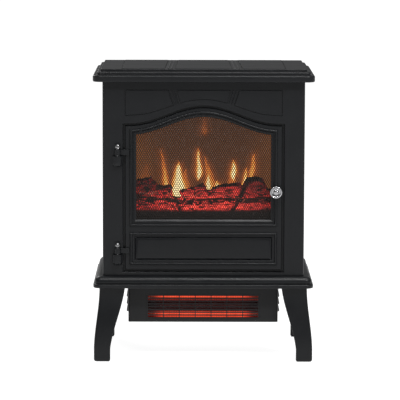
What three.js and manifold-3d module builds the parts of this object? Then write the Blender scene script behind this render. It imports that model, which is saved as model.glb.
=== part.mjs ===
// Electric stove heater: a moulded stove body on four splayed legs, with a hinged mesh door in front of
// a flame effect, and an infrared quartz heater box with a cross-flow blower hung below the base.
// Millimetres, +Z up, front towards -Y. The origin is on the floor, under the middle of the stove.
import * as THREE from "three";
import { mergeVertices } from "three/addons/utils/BufferGeometryUtils.js";
import Module from "manifold-3d";

const wasm = await Module();
wasm.setup();

// ---- Driving dimensions -------------------------------------------------------------------------------

const WIDTH = 430; // over the top and base plates
const DEPTH = 275;
const LEG_HEIGHT = 145;
const BASE_THICKNESS = 23;
const BODY_HEIGHT = 380;
const TOP_THICKNESS = 25;
const PLATE_CORNER = 16;
const BODY_WIDTH = 393;
const BODY_DEPTH = 236;
const BODY_EDGE_RADIUS = 5;
const GAP = 0.3; // between pieces that touch

const FRONT_PANEL_THICKNESS = 12;
const SHEET = 1.5; // steel sheet of the sides, the back and the boxes
const DOOR_RECESS = 8; // depth of the pocket in the front panel that the door closes into
const DOOR_THICKNESS = 6.7;
const BEAD_WIDTH = 5.4;
const BEAD_HEIGHT = 4;
const ARCH_FLAT = 143; // half width over which every arch rises

const HINGE_X = -167;
const HINGE_Y = -125;
const UPPER_HINGE_Z = 404;
const LOWER_HINGE_Z = 210.7;
const HINGE_BARREL_RADIUS = 6;
const HINGE_PIN_RADIUS = 2.5;
const KNUCKLE_HALF_WIDTH = 10.5;
const KNUCKLE_DEPTH = 12.5;
const FINIAL_RADIUS = 5.3;

const KNOB_X = 141;
const KNOB_Z = 333.5;
const KNOB_RADIUS = 12.5;

const GLASS_THICKNESS = 3;
const FIREBOX_HALF_WIDTH = 149;
const FIREBOX_FLOOR = 255;
const FIREBOX_ROOF = 500;
const FLAME_SCREEN_Y = 15;
const LAMP_BOX_BACK_Y = 70;
const ROTOR_Y = 45;
const ROTOR_Z = 300;

const HEATER_HALF_WIDTH = 147;
const HEATER_FRONT_Y = -97;
const HEATER_BACK_Y = 100;
const HEATER_BOTTOM = 72;
const OUTLET_HALF_WIDTH = 109;
const OUTLET_MIDDLE_Z = 102.5;
const SLOT_PITCH = 5.64;
const SLOT_COUNT = 8;
const SLOT_HEIGHT = 3.4;
const LOUVRE_LOWEST_TIP = 88;
const LOUVRE_PITCH = 14.5;
const LOUVRE_REACH = 4.6;
const GRILLE_BAY_PITCH = 31.2;
const TUBE_Y = -74;
const UPPER_TUBE_Z = 117;
const LOWER_TUBE_Z = 84;
const TUBE_RADIUS = 5.5;
const BLOWER_Y = 42;
const BLOWER_Z = 110;
const BLOWER_RADIUS = 22;

const CONTROL_Z = 503;
const POWER_SWITCH_X = 96;
const HEAT_SWITCH_X = 122;
const THERMOSTAT_X = 154;
const ROCKER_TILT = 7; // degrees each side of the middle; at rest the off side is down
const GLAND_X = -150;
const GLAND_Z = 196;

// ---- Levels and planes worked out from them ---------------------------------------------------------

const BASE_BOTTOM = LEG_HEIGHT;
const BASE_TOP = BASE_BOTTOM + BASE_THICKNESS;
const BODY_TOP = BASE_TOP + BODY_HEIGHT;
const TOP = BODY_TOP + TOP_THICKNESS;
const FACE = -BODY_DEPTH / 2; // outer face of the front panel
const PANEL_BACK = FACE + FRONT_PANEL_THICKNESS;
const RECESS_FLOOR = FACE + DOOR_RECESS;
const DOOR_BACK = RECESS_FLOOR - GAP;
const DOOR_FRONT = DOOR_BACK - DOOR_THICKNESS;
const REAR_FACE = BODY_DEPTH / 2;
const CONTROL_FACE = REAR_FACE + GAP + 2.5;

// ---- Finishes ---------------------------------------------------------------------------------------

const finish = (color, roughness, metalness = 0) =>
  new THREE.MeshStandardMaterial({ color, roughness, metalness });
const SATIN_BLACK = finish(0x26272a, 0.45);
const PAINTED_STEEL = finish(0x222326, 0.5, 0.3);
const BRIGHT_CHROME = finish(0xd8d8da, 0.15, 1);
const BRIGHT_STEEL = finish(0xb8bcc0, 0.25, 1);
const MESH_BLACK = finish(0x17171a, 0.5, 0.4);
const SMOKED_GLASS = finish(0x3a2a20, 0.1);
const DIFFUSER = finish(0x6a4028, 0.6);
const CHAR = finish(0x3a1412, 0.8);
const QUARTZ = finish(0xff5a20, 0.2);
const CERAMIC = finish(0xe6e0d2, 0.6);
const DARK_PLASTIC = finish(0x151517, 0.6);
const BOARD_GREEN = finish(0x1f5c34, 0.6);

// ---- Solids -----------------------------------------------------------------------------------------

// A closed three.js geometry as a solid.
function solid(geometry) {
  const bare = geometry.index ? geometry.toNonIndexed() : geometry.clone();
  bare.deleteAttribute("normal");
  bare.deleteAttribute("uv");
  const merged = mergeVertices(bare, 1e-3);
  return new wasm.Manifold(
    new wasm.Mesh({
      numProp: 3,
      vertProperties: merged.getAttribute("position").array,
      triVerts: new Uint32Array(merged.index.array),
    }),
  );
}

// A solid back as a three.js geometry.
function geometryOf(shape) {
  const { vertProperties, triVerts } = shape.getMesh();
  const geometry = new THREE.BufferGeometry();
  geometry.setAttribute("position", new THREE.BufferAttribute(vertProperties, 3));
  geometry.setIndex(new THREE.BufferAttribute(triVerts, 1));
  geometry.computeVertexNormals();
  return geometry;
}

const join = (first, ...others) => others.reduce((whole, part) => whole.add(part), first);
const cut = (first, ...others) => others.reduce((whole, part) => whole.subtract(part), first);

// A block between two opposite corners.
function block([x0, y0, z0], [x1, y1, z1]) {
  const geometry = new THREE.BoxGeometry(x1 - x0, y1 - y0, z1 - z0);
  return solid(geometry.translate((x0 + x1) / 2, (y0 + y1) / 2, (z0 + z1) / 2));
}

// A round bar from one point to another.
function bar(radius, from, to, sides = 24, endRadius = radius) {
  const start = new THREE.Vector3(...from);
  const reach = new THREE.Vector3(...to).sub(start);
  const geometry = new THREE.CylinderGeometry(endRadius, radius, reach.length(), sides);
  const turn = new THREE.Quaternion().setFromUnitVectors(
    new THREE.Vector3(0, 1, 0),
    reach.clone().normalize(),
  );
  return solid(
    geometry.applyQuaternion(turn).translate(...start.addScaledVector(reach, 0.5).toArray()),
  );
}

// A shape drawn in X and Z, given thickness from its front Y to its back Y.
function elevation(points, front, back) {
  const geometry = new THREE.ExtrudeGeometry(new THREE.Shape(points), {
    depth: back - front,
    bevelEnabled: false,
  });
  return solid(geometry.rotateX(Math.PI / 2).translate(0, back, 0));
}

// A shape drawn in X and Y, raised from one height to another.
function plan(points, bottom, top) {
  const geometry = new THREE.ExtrudeGeometry(new THREE.Shape(points), {
    depth: top - bottom,
    bevelEnabled: false,
  });
  return solid(geometry.translate(0, 0, bottom));
}

// A shape drawn in Y and Z, run from left X to right X.
function crossSection(points, left, right) {
  const geometry = new THREE.ExtrudeGeometry(new THREE.Shape(points), {
    depth: right - left,
    bevelEnabled: false,
  });
  const axes = new THREE.Matrix4().makeBasis(
    new THREE.Vector3(0, 1, 0),
    new THREE.Vector3(0, 0, 1),
    new THREE.Vector3(1, 0, 0),
  );
  return solid(geometry.applyMatrix4(axes).translate(left, 0, 0));
}

// A skin over level outlines of equal point count, listed upwards and closed at both ends.
function loft(rings) {
  const count = rings[0].points.length;
  const positions = rings.flatMap(({ points, z }) => points.flatMap((p) => [p.x, p.y, z]));
  const index = [];
  for (let ring = 0; ring + 1 < rings.length; ring += 1) {
    for (let i = 0; i < count; i += 1) {
      const a = ring * count + i;
      const b = ring * count + ((i + 1) % count);
      index.push(a, b, b + count, a, b + count, a + count);
    }
  }
  const last = (rings.length - 1) * count;
  const lid = (ring) => THREE.ShapeUtils.triangulateShape(rings[ring].points, []);
  for (const [a, b, c] of lid(0)) index.push(c, b, a);
  for (const [a, b, c] of lid(rings.length - 1)) index.push(last + a, last + b, last + c);
  const geometry = new THREE.BufferGeometry();
  geometry.setAttribute("position", new THREE.Float32BufferAttribute(positions, 3));
  geometry.setIndex(index);
  return solid(geometry);
}

// A turned piece: radius and height pairs, starting and ending on the axis, which is +Z.
function turned(profile, sides = 32) {
  const points = profile.map(([radius, height]) => new THREE.Vector2(radius, height));
  return solid(new THREE.LatheGeometry(points, sides).rotateX(Math.PI / 2));
}

const at = (x, y) => new THREE.Vector2(x, y);

function rectangle(left, bottom, right, top) {
  return [at(left, bottom), at(right, bottom), at(right, top), at(left, top)];
}

function roundedRectangle(halfX, halfY, radius, steps = 4) {
  const points = [];
  for (let corner = 0; corner < 4; corner += 1) {
    const cx = (halfX - radius) * (corner === 0 || corner === 3 ? 1 : -1);
    const cy = (halfY - radius) * (corner < 2 ? 1 : -1);
    for (let i = 0; i <= steps; i += 1) {
      const angle = ((corner + i / steps) * Math.PI) / 2;
      points.push(at(cx + radius * Math.cos(angle), cy + radius * Math.sin(angle)));
    }
  }
  return points;
}

// ---- Outlines shared by the front panel and the door ------------------------------------------------

// Height of an ogee arch that starts at its side height and rises to a soft peak in the middle.
function archHeight(x, side, rise) {
  return side + (rise * (1 + Math.cos((Math.PI * Math.min(Math.abs(x), ARCH_FLAT)) / ARCH_FLAT))) / 2;
}

function archPoints(fromX, toX, side, rise, steps) {
  return Array.from({ length: steps + 1 }, (_, i) => {
    const x = fromX + ((toX - fromX) * i) / steps;
    return at(x, archHeight(x, side, rise));
  });
}

// A door-shaped outline: square at the bottom, arched at the top.
function archedOutline({ halfWidth, bottom, side, rise }) {
  return [
    at(-halfWidth, bottom),
    at(halfWidth, bottom),
    ...archPoints(halfWidth, -halfWidth, side, rise, 22),
  ];
}

const grown = ({ halfWidth, bottom, side, rise }, by) => ({
  halfWidth: halfWidth + by,
  bottom: bottom - by,
  side: side + by,
  rise,
});

const RECESS = { halfWidth: 157, bottom: 175, side: 466, rise: 35 };
const DOOR = grown(RECESS, -4.5);
const WINDOW_BEAD = { halfWidth: 141, bottom: 267.5, side: 452.3, rise: 36 };
const WINDOW = { halfWidth: 131, bottom: 278.3, side: 443.6, rise: 35.1 };
const CUT_OUT = grown(WINDOW, 5);
const LOWER_BEAD = { halfWidth: 141, bottom: 191.6, top: 250.3 };

// ---- Assembly ---------------------------------------------------------------------------------------

const stove = new THREE.Group();

function add(name, shape, material, parent = stove) {
  const mesh = new THREE.Mesh(geometryOf(shape), material);
  mesh.name = name;
  parent.add(mesh);
  return mesh;
}

function groupAt(x, y, z) {
  const group = new THREE.Group();
  group.position.set(x, y, z);
  stove.add(group);
  return group;
}

// A moulded plate: level outlines set in from its full size, listed as [inset, height].
function mouldedPlate(profile) {
  return loft(
    profile.map(([inset, z]) => ({
      points: roundedRectangle(WIDTH / 2 - inset, DEPTH / 2 - inset, Math.max(PLATE_CORNER - inset, 3)),
      z,
    })),
  );
}

// ---- Top and base -----------------------------------------------------------------------------------

function topPlate() {
  const plateau = 15;
  const plate = mouldedPlate([
    [2.5, BODY_TOP],
    [0, BODY_TOP + 2.5],
    [0, BODY_TOP + 9.5],
    [1, BODY_TOP + 11.8],
    [3.2, BODY_TOP + 12.7],
    [7.6, BODY_TOP + 13.2],
    [8, BODY_TOP + 17],
    [9.2, BODY_TOP + 19],
    [11, BODY_TOP + 19.6],
    [plateau, BODY_TOP + 19.6],
    [plateau, BODY_TOP + 22.4],
    [plateau + 1.8, TOP - 0.8],
  ]);
  const hollow = block([-186, -107, BODY_TOP - 1], [186, 107, TOP - 5]);
  const dividerFront = 55;
  const dividerBack = 50;
  const sidePadOuter = 158;
  const padFront = -DEPTH / 2 + plateau + 8;
  const padBack = DEPTH / 2 - plateau - 8;
  const middle = [
    at(-dividerFront, padFront),
    at(dividerFront, padFront),
    at(dividerBack, padBack),
    at(-dividerBack, padBack),
  ];
  const side = [
    at(dividerFront + 21, padFront),
    at(sidePadOuter, padFront),
    at(sidePadOuter, padBack),
    at(dividerBack + 21, padBack),
  ];
  const mirrored = side.map((p) => at(-p.x, p.y)).reverse();
  const pads = [middle, side, mirrored].map((points) => plan(points, TOP - 2, TOP));
  add("top_plate", cut(join(plate, ...pads), hollow), SATIN_BLACK);
}

function basePlate() {
  const plate = mouldedPlate([
    [2, BASE_BOTTOM],
    [0, BASE_BOTTOM + 2],
    [0, BASE_BOTTOM + 5.5],
    [1.2, BASE_BOTTOM + 7.3],
    [3, BASE_BOTTOM + 7.9],
    [5, BASE_BOTTOM + 8.3],
    [5, BASE_BOTTOM + 9.3],
    [3.6, BASE_BOTTOM + 10.2],
    [3.2, BASE_BOTTOM + 12],
    [4, BASE_BOTTOM + 16],
    [6, BASE_BOTTOM + 20],
    [8.6, BASE_BOTTOM + 22.2],
    [11, BASE_TOP],
  ]);
  const tray = block([-186, -105, BASE_BOTTOM + 5], [186, 105, BASE_TOP + 1]);
  const wireHole = block([-40, 60, BASE_BOTTOM - 1], [40, 90, BASE_BOTTOM + 6]);
  add("base_plate", cut(plate, tray, wireHole), SATIN_BLACK);
}

// Share of the splay reached at a height: 0 at the top of the leg and 1 from the ankle down.
function splay(z, ankle, straightness) {
  const down = THREE.MathUtils.clamp((LEG_HEIGHT - z) / (LEG_HEIGHT - ankle), 0, 1);
  return straightness * down + (1 - straightness) * THREE.MathUtils.smoothstep(down, 0, 1);
}

// A splayed leg of L section, its corner outwards, with a flange under the base plate.
function legSolid() {
  const wall = 6;
  const cornerRadius = 5;
  const plateOffset = (WIDTH - DEPTH) / 2;
  const section = (z) => {
    const rounding = z < 4 ? 2.2 - z * 0.55 : 0;
    const outer = 203 + 10.8 * splay(z, 20, 0) - rounding;
    const inner = 152.9 + 28.7 * splay(z, 25, 0.5);
    const back = outer - plateOffset;
    const side = inner - plateOffset;
    const corner = Array.from({ length: 4 }, (_, i) => {
      const angle = (i / 3) * (Math.PI / 2);
      return at(
        outer - cornerRadius + cornerRadius * Math.cos(angle),
        back - cornerRadius + cornerRadius * Math.sin(angle),
      );
    });
    return [
      at(outer, side),
      ...corner,
      at(inner, back),
      at(inner, back - wall),
      at(outer - wall, back - wall),
      at(outer - wall, side),
    ];
  };
  const top = BASE_BOTTOM - GAP;
  const heights = [0, 4, 20, 35, 50, 65, 80, 95, 110, 125, 136, top];
  const shell = loft(heights.map((z) => ({ points: section(z), z })));
  const flange = plan(rectangle(154, 77, 199.5, 122), top - 4, top);
  return join(shell, flange);
}

function legs() {
  const shape = legSolid();
  const corners = {
    front_left_leg: [-1, -1],
    front_right_leg: [1, -1],
    rear_left_leg: [-1, 1],
    rear_right_leg: [1, 1],
  };
  for (const [name, [x, y]] of Object.entries(corners)) add(name, shape, SATIN_BLACK).scale.set(x, y, 1);
}

// ---- Body panels ------------------------------------------------------------------------------------

function frontPanel() {
  const half = BODY_WIDTH / 2;
  const roundedEdge = (side) =>
    Array.from({ length: 5 }, (_, i) => {
      const angle = (side > 0 ? -90 + 22.5 * i : 180 + 22.5 * i) * THREE.MathUtils.DEG2RAD;
      return at(
        side * (half - BODY_EDGE_RADIUS) + BODY_EDGE_RADIUS * Math.cos(angle),
        FACE + BODY_EDGE_RADIUS + BODY_EDGE_RADIUS * Math.sin(angle),
      );
    });
  const panel = plan(
    [at(-half, PANEL_BACK), ...roundedEdge(-1), ...roundedEdge(1), at(half, PANEL_BACK)],
    BASE_TOP + GAP,
    BODY_TOP - GAP,
  );
  const raised = 0.8;
  const lineTop = 531;
  const lineSide = 482.6;
  const lineRise = 31.4;
  const sidePanel = [
    at(151.8, lineSide),
    at(151.8, lineTop),
    at(69.3, lineTop),
    ...archPoints(59.7, 118, lineSide, lineRise, 8),
  ];
  const mirrored = sidePanel.map((p) => at(-p.x, p.y)).reverse();
  const middlePanel = [
    at(51.7, lineTop),
    at(-51.7, lineTop),
    ...archPoints(-45, 45, lineSide, lineRise, 8),
  ];
  const embossed = [sidePanel, mirrored, middlePanel].map((points) =>
    elevation(points, FACE - raised, FACE + 1),
  );
  const recess = elevation(archedOutline(RECESS), FACE - 1, RECESS_FLOOR);
  const opening = elevation(archedOutline(CUT_OUT), RECESS_FLOOR - 1, PANEL_BACK + 1);
  const magnetPocket = elevation(rectangle(140, 380, 150, 395), RECESS_FLOOR - 1, PANEL_BACK + 1);
  add("front_panel", cut(join(panel, ...embossed), recess, opening, magnetPocket), SATIN_BLACK);
}

function sidePanels() {
  const outer = BODY_WIDTH / 2;
  const flange = 14;
  const wall = [
    at(outer - SHEET, PANEL_BACK + GAP),
    at(outer, PANEL_BACK + GAP),
    at(outer, REAR_FACE - SHEET - GAP),
    at(outer - flange, REAR_FACE - SHEET - GAP),
    at(outer - flange, REAR_FACE - 2 * SHEET - GAP),
    at(outer - SHEET, REAR_FACE - 2 * SHEET - GAP),
  ];
  const shape = plan(wall, BASE_TOP + GAP, BODY_TOP - GAP);
  add("right_side_panel", shape, PAINTED_STEEL);
  add("left_side_panel", shape, PAINTED_STEEL).scale.set(-1, 1, 1);
}

function rearPanel() {
  const half = BODY_WIDTH / 2 - 1;
  const panel = block(
    [-half, REAR_FACE - SHEET, BASE_TOP + GAP],
    [half, REAR_FACE, BODY_TOP - GAP],
  );
  const through = (left, bottom, right, top) =>
    elevation(rectangle(left, bottom, right, top), REAR_FACE - 5, REAR_FACE + 5);
  const slots = [];
  for (const x of [-130, -44, 42]) {
    for (let row = 0; row < 6; row += 1) slots.push(through(x, 330 + row * 12, x + 70, 335 + row * 12));
  }
  const controlHole = through(78, CONTROL_Z - 18, 176, CONTROL_Z + 18);
  const glandHole = bar(6.6, [GLAND_X, REAR_FACE - 5, GLAND_Z], [GLAND_X, REAR_FACE + 5, GLAND_Z]);
  add("rear_panel", cut(panel, ...slots, controlHole, glandHole), PAINTED_STEEL);
}

// ---- Door -------------------------------------------------------------------------------------------

const ring = (outline, halfWidth, front, back) =>
  cut(
    elevation(archedOutline(grown(outline, halfWidth)), front, back),
    elevation(archedOutline(grown(outline, -halfWidth)), front - 1, back + 1),
  );

function doorFrame() {
  const leaf = elevation(archedOutline(DOOR), DOOR_FRONT, DOOR_BACK);
  const beadFront = DOOR_FRONT - BEAD_HEIGHT;
  const half = BEAD_WIDTH / 2;
  const windowBead = ring(WINDOW_BEAD, half, beadFront, DOOR_FRONT + 1);
  const { halfWidth, bottom, top } = LOWER_BEAD;
  const lowerEdge = (by) => rectangle(-halfWidth - by, bottom - by, halfWidth + by, top + by);
  const lowerBead = cut(
    elevation(lowerEdge(half), beadFront, DOOR_FRONT + 1),
    elevation(lowerEdge(-half), beadFront - 1, DOOR_FRONT + 2),
  );
  const knobSeat = bar(9, [KNOB_X, DOOR_FRONT + 1, KNOB_Z], [KNOB_X, beadFront, KNOB_Z]);
  const window = elevation(archedOutline(WINDOW), DOOR_FRONT - 1, DOOR_BACK + 1);
  const rebate = elevation(archedOutline(grown(WINDOW, 5)), DOOR_FRONT + 3, DOOR_BACK + 1);
  const lowerOpening = elevation(rectangle(-133, 199, 133, 243), DOOR_FRONT - 1, DOOR_BACK + 1);
  const lowerRebate = elevation(rectangle(-136, 196, 136, 246), DOOR_FRONT + 3, DOOR_BACK + 1);
  const screwHole = bar(2.4, [KNOB_X, DOOR_BACK + 1, KNOB_Z], [KNOB_X, beadFront - 1, KNOB_Z]);
  const screwSink = bar(4.6, [KNOB_X, DOOR_BACK + 1, KNOB_Z], [KNOB_X, DOOR_BACK - 3.2, KNOB_Z]);
  const strikerPocket = elevation(rectangle(139.4, 379.4, 150.6, 395.6), DOOR_BACK - 1.6, DOOR_BACK + 1);
  add(
    "door_frame",
    cut(
      join(leaf, windowBead, lowerBead, knobSeat),
      window,
      rebate,
      lowerOpening,
      lowerRebate,
      screwHole,
      screwSink,
      strikerPocket,
    ),
    SATIN_BLACK,
  );
}

function doorFillings() {
  const seat = DOOR_FRONT + 3 + GAP;
  add("door_mesh", elevation(archedOutline(grown(WINDOW, 4.6)), seat, seat + 1), MESH_BLACK);
  const back = elevation(rectangle(-135.6, 196.4, 135.6, 245.6), seat, seat + 1.6);
  const field = loft([
    { points: rectangle(-132.6, 199.4, 132.6, 242.6), z: -1 },
    { points: rectangle(-132.6, 199.4, 132.6, 242.6), z: 1.2 },
    { points: rectangle(-127.5, 202, 127.5, 237), z: 3.4 },
  ]);
  const raisedField = solid(geometryOf(field).rotateX(Math.PI / 2).translate(0, seat, 0));
  add("door_lower_panel", join(back, raisedField), SATIN_BLACK);
  add(
    "striker_plate",
    elevation(rectangle(139.7, 379.7, 150.3, 395.3), DOOR_BACK - 1.3, DOOR_BACK - 0.1),
    BRIGHT_STEEL,
  );
  add(
    "door_magnet",
    elevation(rectangle(140.3, 380.3, 149.7, 394.7), RECESS_FLOOR, PANEL_BACK + 3),
    DARK_PLASTIC,
  );
}

// A fixed round pull: a short neck, a rimmed head and a small button in its middle.
function doorKnob() {
  const seat = -(DOOR_FRONT - BEAD_HEIGHT - GAP);
  const place = groupAt(KNOB_X, 0, KNOB_Z);
  const head = turned([
    [0, seat],
    [8, seat],
    [6.6, seat + 2],
    [7.5, seat + 3.8],
    [11.2, seat + 4.8],
    [KNOB_RADIUS, seat + 6.6],
    [KNOB_RADIUS - 0.6, seat + 8.6],
    [KNOB_RADIUS - 2, seat + 9.6],
    [KNOB_RADIUS - 3.4, seat + 9.2],
    [5.4, seat + 8],
    [4.2, seat + 8.2],
    [3.6, seat + 10.2],
    [0, seat + 11],
  ]);
  const thread = bar(2.4, [0, 0, seat - 1], [0, 0, seat + 5]);
  add("door_knob", cut(head, thread), BRIGHT_CHROME, place).rotation.x = Math.PI / 2;
  const screw = join(
    bar(4.2, [0, 0, -DOOR_BACK + 0.2], [0, 0, -DOOR_BACK + 2.8]),
    bar(2, [0, 0, -DOOR_BACK + 2], [0, 0, seat + 4]),
  );
  add("knob_screw", screw, BRIGHT_STEEL, place).rotation.x = Math.PI / 2;
}

// One hinge about its own pin, its bracket on the body below and its strap on the door above.
function hinge(name, z) {
  const place = groupAt(HINGE_X, HINGE_Y, z);
  const panel = FACE - GAP - HINGE_Y;
  const knuckleOutline = (scale) =>
    Array.from({ length: 17 }, (_, i) => {
      const angle = Math.PI * (1 + i / 16);
      return at(
        scale * KNUCKLE_HALF_WIDTH * Math.cos(angle),
        panel + scale * KNUCKLE_DEPTH * Math.sin(angle),
      );
    });
  const knuckle = loft([
    { points: knuckleOutline(0.5), z: -22 },
    { points: knuckleOutline(0.78), z: -20.6 },
    { points: knuckleOutline(0.94), z: -18 },
    { points: knuckleOutline(1), z: -14.5 },
    { points: knuckleOutline(1), z: -0.6 },
  ]);
  const bore = bar(HINGE_PIN_RADIUS + GAP, [0, 0, -18], [0, 0, 20]);
  add(name + "_bracket", cut(knuckle, bore), SATIN_BLACK, place);
  const strapBarrel = bar(HINGE_BARREL_RADIUS, [0, 0, 0.6], [0, 0, 12]);
  const armEnd = -WINDOW_BEAD.halfWidth - BEAD_WIDTH / 2 - GAP - HINGE_X;
  const arm = block([0, panel - 3.1, 1], [armEnd, panel, 11.6]);
  const foot = block([armEnd - 6, panel - 1, 1], [armEnd, DOOR_FRONT - GAP - HINGE_Y, 11.6]);
  const strapBore = bar(HINGE_PIN_RADIUS + 0.2, [0, 0, -1], [0, 0, 13]);
  add(name + "_strap", cut(join(strapBarrel, arm, foot), strapBore), SATIN_BLACK, place);
  const ballMiddle = 18;
  const ball = Array.from({ length: 11 }, (_, i) => {
    const angle = -Math.PI / 3 + (i / 10) * (Math.PI / 2 + Math.PI / 3);
    return [FINIAL_RADIUS * Math.cos(angle), ballMiddle + FINIAL_RADIUS * Math.sin(angle)];
  });
  ball[10][0] = 0;
  add(
    name + "_pin",
    turned([[0, -17.6], [HINGE_PIN_RADIUS, -17.6], [HINGE_PIN_RADIUS, ball[0][1]], ...ball], 24),
    BRIGHT_STEEL,
    place,
  );
}

// ---- Firebox and flame effect -----------------------------------------------------------------------

function firebox() {
  const half = FIREBOX_HALF_WIDTH;
  const front = PANEL_BACK + GLASS_THICKNESS + 2 * GAP;
  const back = LAMP_BOX_BACK_Y + SHEET + GAP;
  const floorTop = FIREBOX_FLOOR + SHEET;
  const wallBottom = floorTop + GAP;
  const wallTop = FIREBOX_ROOF - GAP;
  const lip = half + 2 * SHEET;
  const glassBack = PANEL_BACK + GAP + GLASS_THICKNESS;
  const glass = elevation(rectangle(-139, 268, 139, 492), PANEL_BACK + GAP, glassBack);
  const roofTop = FIREBOX_ROOF + SHEET;
  add("window_glass", glass, SMOKED_GLASS);
  add("firebox_floor", block([-lip, front, FIREBOX_FLOOR], [lip, back, floorTop]), PAINTED_STEEL);
  add("firebox_roof", block([-lip, front, FIREBOX_ROOF], [lip, back, roofTop]), PAINTED_STEEL);
  const leftWall = block([-half - SHEET, front, wallBottom], [-half, back, wallTop]);
  const rightWall = block([half, front, wallBottom], [half + SHEET, back, wallTop]);
  add("firebox_left_wall", leftWall, PAINTED_STEEL);
  add("firebox_right_wall", rightWall, PAINTED_STEEL);
  add(
    "lamp_box_back",
    block([-half + GAP, LAMP_BOX_BACK_Y, wallBottom], [half - GAP, LAMP_BOX_BACK_Y + SHEET, wallTop]),
    BRIGHT_STEEL,
  );
  add(
    "flame_screen",
    block([-half + GAP, FLAME_SCREEN_Y, wallBottom], [half - GAP, FLAME_SCREEN_Y + 3, wallTop]),
    DIFFUSER,
  );
  add(
    "ember_led_board",
    block([-110, -75, wallBottom], [110, -45, wallBottom + SHEET]),
    BOARD_GREEN,
  );
  const emberTop = 273;
  const bed = block([-140, -96, wallBottom + 4], [140, 8, emberTop]);
  const lightWell = block([-125, -90, wallBottom], [125, -30, emberTop - 4]);
  add("ember_bed", cut(bed, lightWell), CHAR);
  logs(emberTop + GAP);
}

// Resin logs stacked on one moulded base, each as [radius, from, to, end radius]: four across the back,
// one leaning on them and two in front.
function logs(bottom) {
  const stack = [
    [15, [-137, -46, 326], [-91, -48, 336], 16],
    [17, [-104, -48, 316], [-58, -50, 317], 18],
    [14, [-66, -48, 301], [-30, -48, 303], 14],
    [19, [-43, -50, 308], [82, -50, 321], 20],
    [14, [58, -60, 286], [103, -46, 343], 15],
    [14, [96, -50, 318], [135, -50, 309], 13],
    [14, [-122, -72, 300], [-18, -78, 294], 15],
    [13, [0, -76, 292], [114, -70, 302], 14],
  ];
  const base = block([-128, -88, bottom], [122, -28, bottom + 16]);
  const pieces = stack.map(([radius, from, to, endRadius]) => bar(radius, from, to, 12, endRadius));
  add("log_set", join(base, ...pieces), CHAR);
}

// A motor-driven spindle with bright flags set round it in a spiral, which throws moving light.
function flameDrive() {
  const left = -138;
  const right = 131;
  const flags = Array.from({ length: 11 }, (_, i) => {
    const flag = new THREE.BoxGeometry(16, 0.8, 44);
    flag.rotateX((i * 50 * Math.PI) / 180).translate(-110 + i * 22, ROTOR_Y, ROTOR_Z);
    return solid(flag);
  });
  const spindle = bar(2.5, [left, ROTOR_Y, ROTOR_Z], [right, ROTOR_Y, ROTOR_Z], 16);
  add("flame_rotor", join(spindle, ...flags), BRIGHT_STEEL);
  const hole = bar(2.8, [left - 20, ROTOR_Y, ROTOR_Z], [132, ROTOR_Y, ROTOR_Z], 16);
  const bearing = block([-140, ROTOR_Y - 9, FIREBOX_FLOOR + SHEET + GAP], [-132, ROTOR_Y + 9, ROTOR_Z + 9]);
  add("rotor_bearing", cut(bearing, hole), DARK_PLASTIC);
  const gearbox = bar(20, [125, ROTOR_Y, ROTOR_Z], [140, ROTOR_Y, ROTOR_Z]);
  const foot = block([127, ROTOR_Y - 12, FIREBOX_FLOOR + SHEET + GAP], [137, ROTOR_Y + 12, ROTOR_Z]);
  add("flame_motor", cut(join(gearbox, foot), hole), BRIGHT_STEEL);
  const floorTop = FIREBOX_FLOOR + SHEET + GAP;
  add(
    "flame_led_board",
    block([-115, ROTOR_Y - 9, floorTop], [115, ROTOR_Y + 9, floorTop + SHEET]),
    BOARD_GREEN,
  );
}

// ---- Heater box -------------------------------------------------------------------------------------

function heaterHousing() {
  const half = HEATER_HALF_WIDTH;
  const top = BASE_BOTTOM - GAP;
  const tub = cut(
    block([-half, HEATER_FRONT_Y, HEATER_BOTTOM], [half, HEATER_BACK_Y, top]),
    block(
      [-half + SHEET, HEATER_FRONT_Y + SHEET, HEATER_BOTTOM + SHEET],
      [half - SHEET, HEATER_BACK_Y - SHEET, top + 1],
    ),
  );
  const outlet = elevation(outletField(GAP), HEATER_FRONT_Y - 1, HEATER_FRONT_Y + SHEET + 1);
  const louvres = [];
  const slots = [];
  for (let row = 0; row < 3; row += 1) {
    const z = LOUVRE_LOWEST_TIP + row * LOUVRE_PITCH;
    const reach = half + LOUVRE_REACH;
    const hood = [
      at(half - 1, z + 12),
      at(half, z + 12),
      at(reach, z + 1.2),
      at(reach, z),
      at(half - 1, z + 9.6),
    ];
    for (const side of [1, -1]) {
      const points = side > 0 ? hood : hood.map((p) => at(-p.x, p.y)).reverse();
      louvres.push(elevation(points, -72, 62));
      slots.push(block([side * half - 4, -70, z], [side * half + 4, 60, z + 6]));
    }
  }
  const intake = [];
  for (let row = 0; row < 4; row += 1) {
    intake.push(block([-80, HEATER_BACK_Y - 4, 90 + row * 10], [80, HEATER_BACK_Y + 1, 94 + row * 10]));
  }
  add("heater_housing", join(cut(tub, outlet, ...slots, ...intake), ...louvres), PAINTED_STEEL);
}

// Outline of the slatted field in the heater box's front sheet, larger by a margin.
function outletField(margin) {
  const halfWidth = OUTLET_HALF_WIDTH + 2.5 + margin;
  const halfHeight = 24 + margin;
  return rectangle(-halfWidth, OUTLET_MIDDLE_Z - halfHeight, halfWidth, OUTLET_MIDDLE_Z + halfHeight);
}

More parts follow.
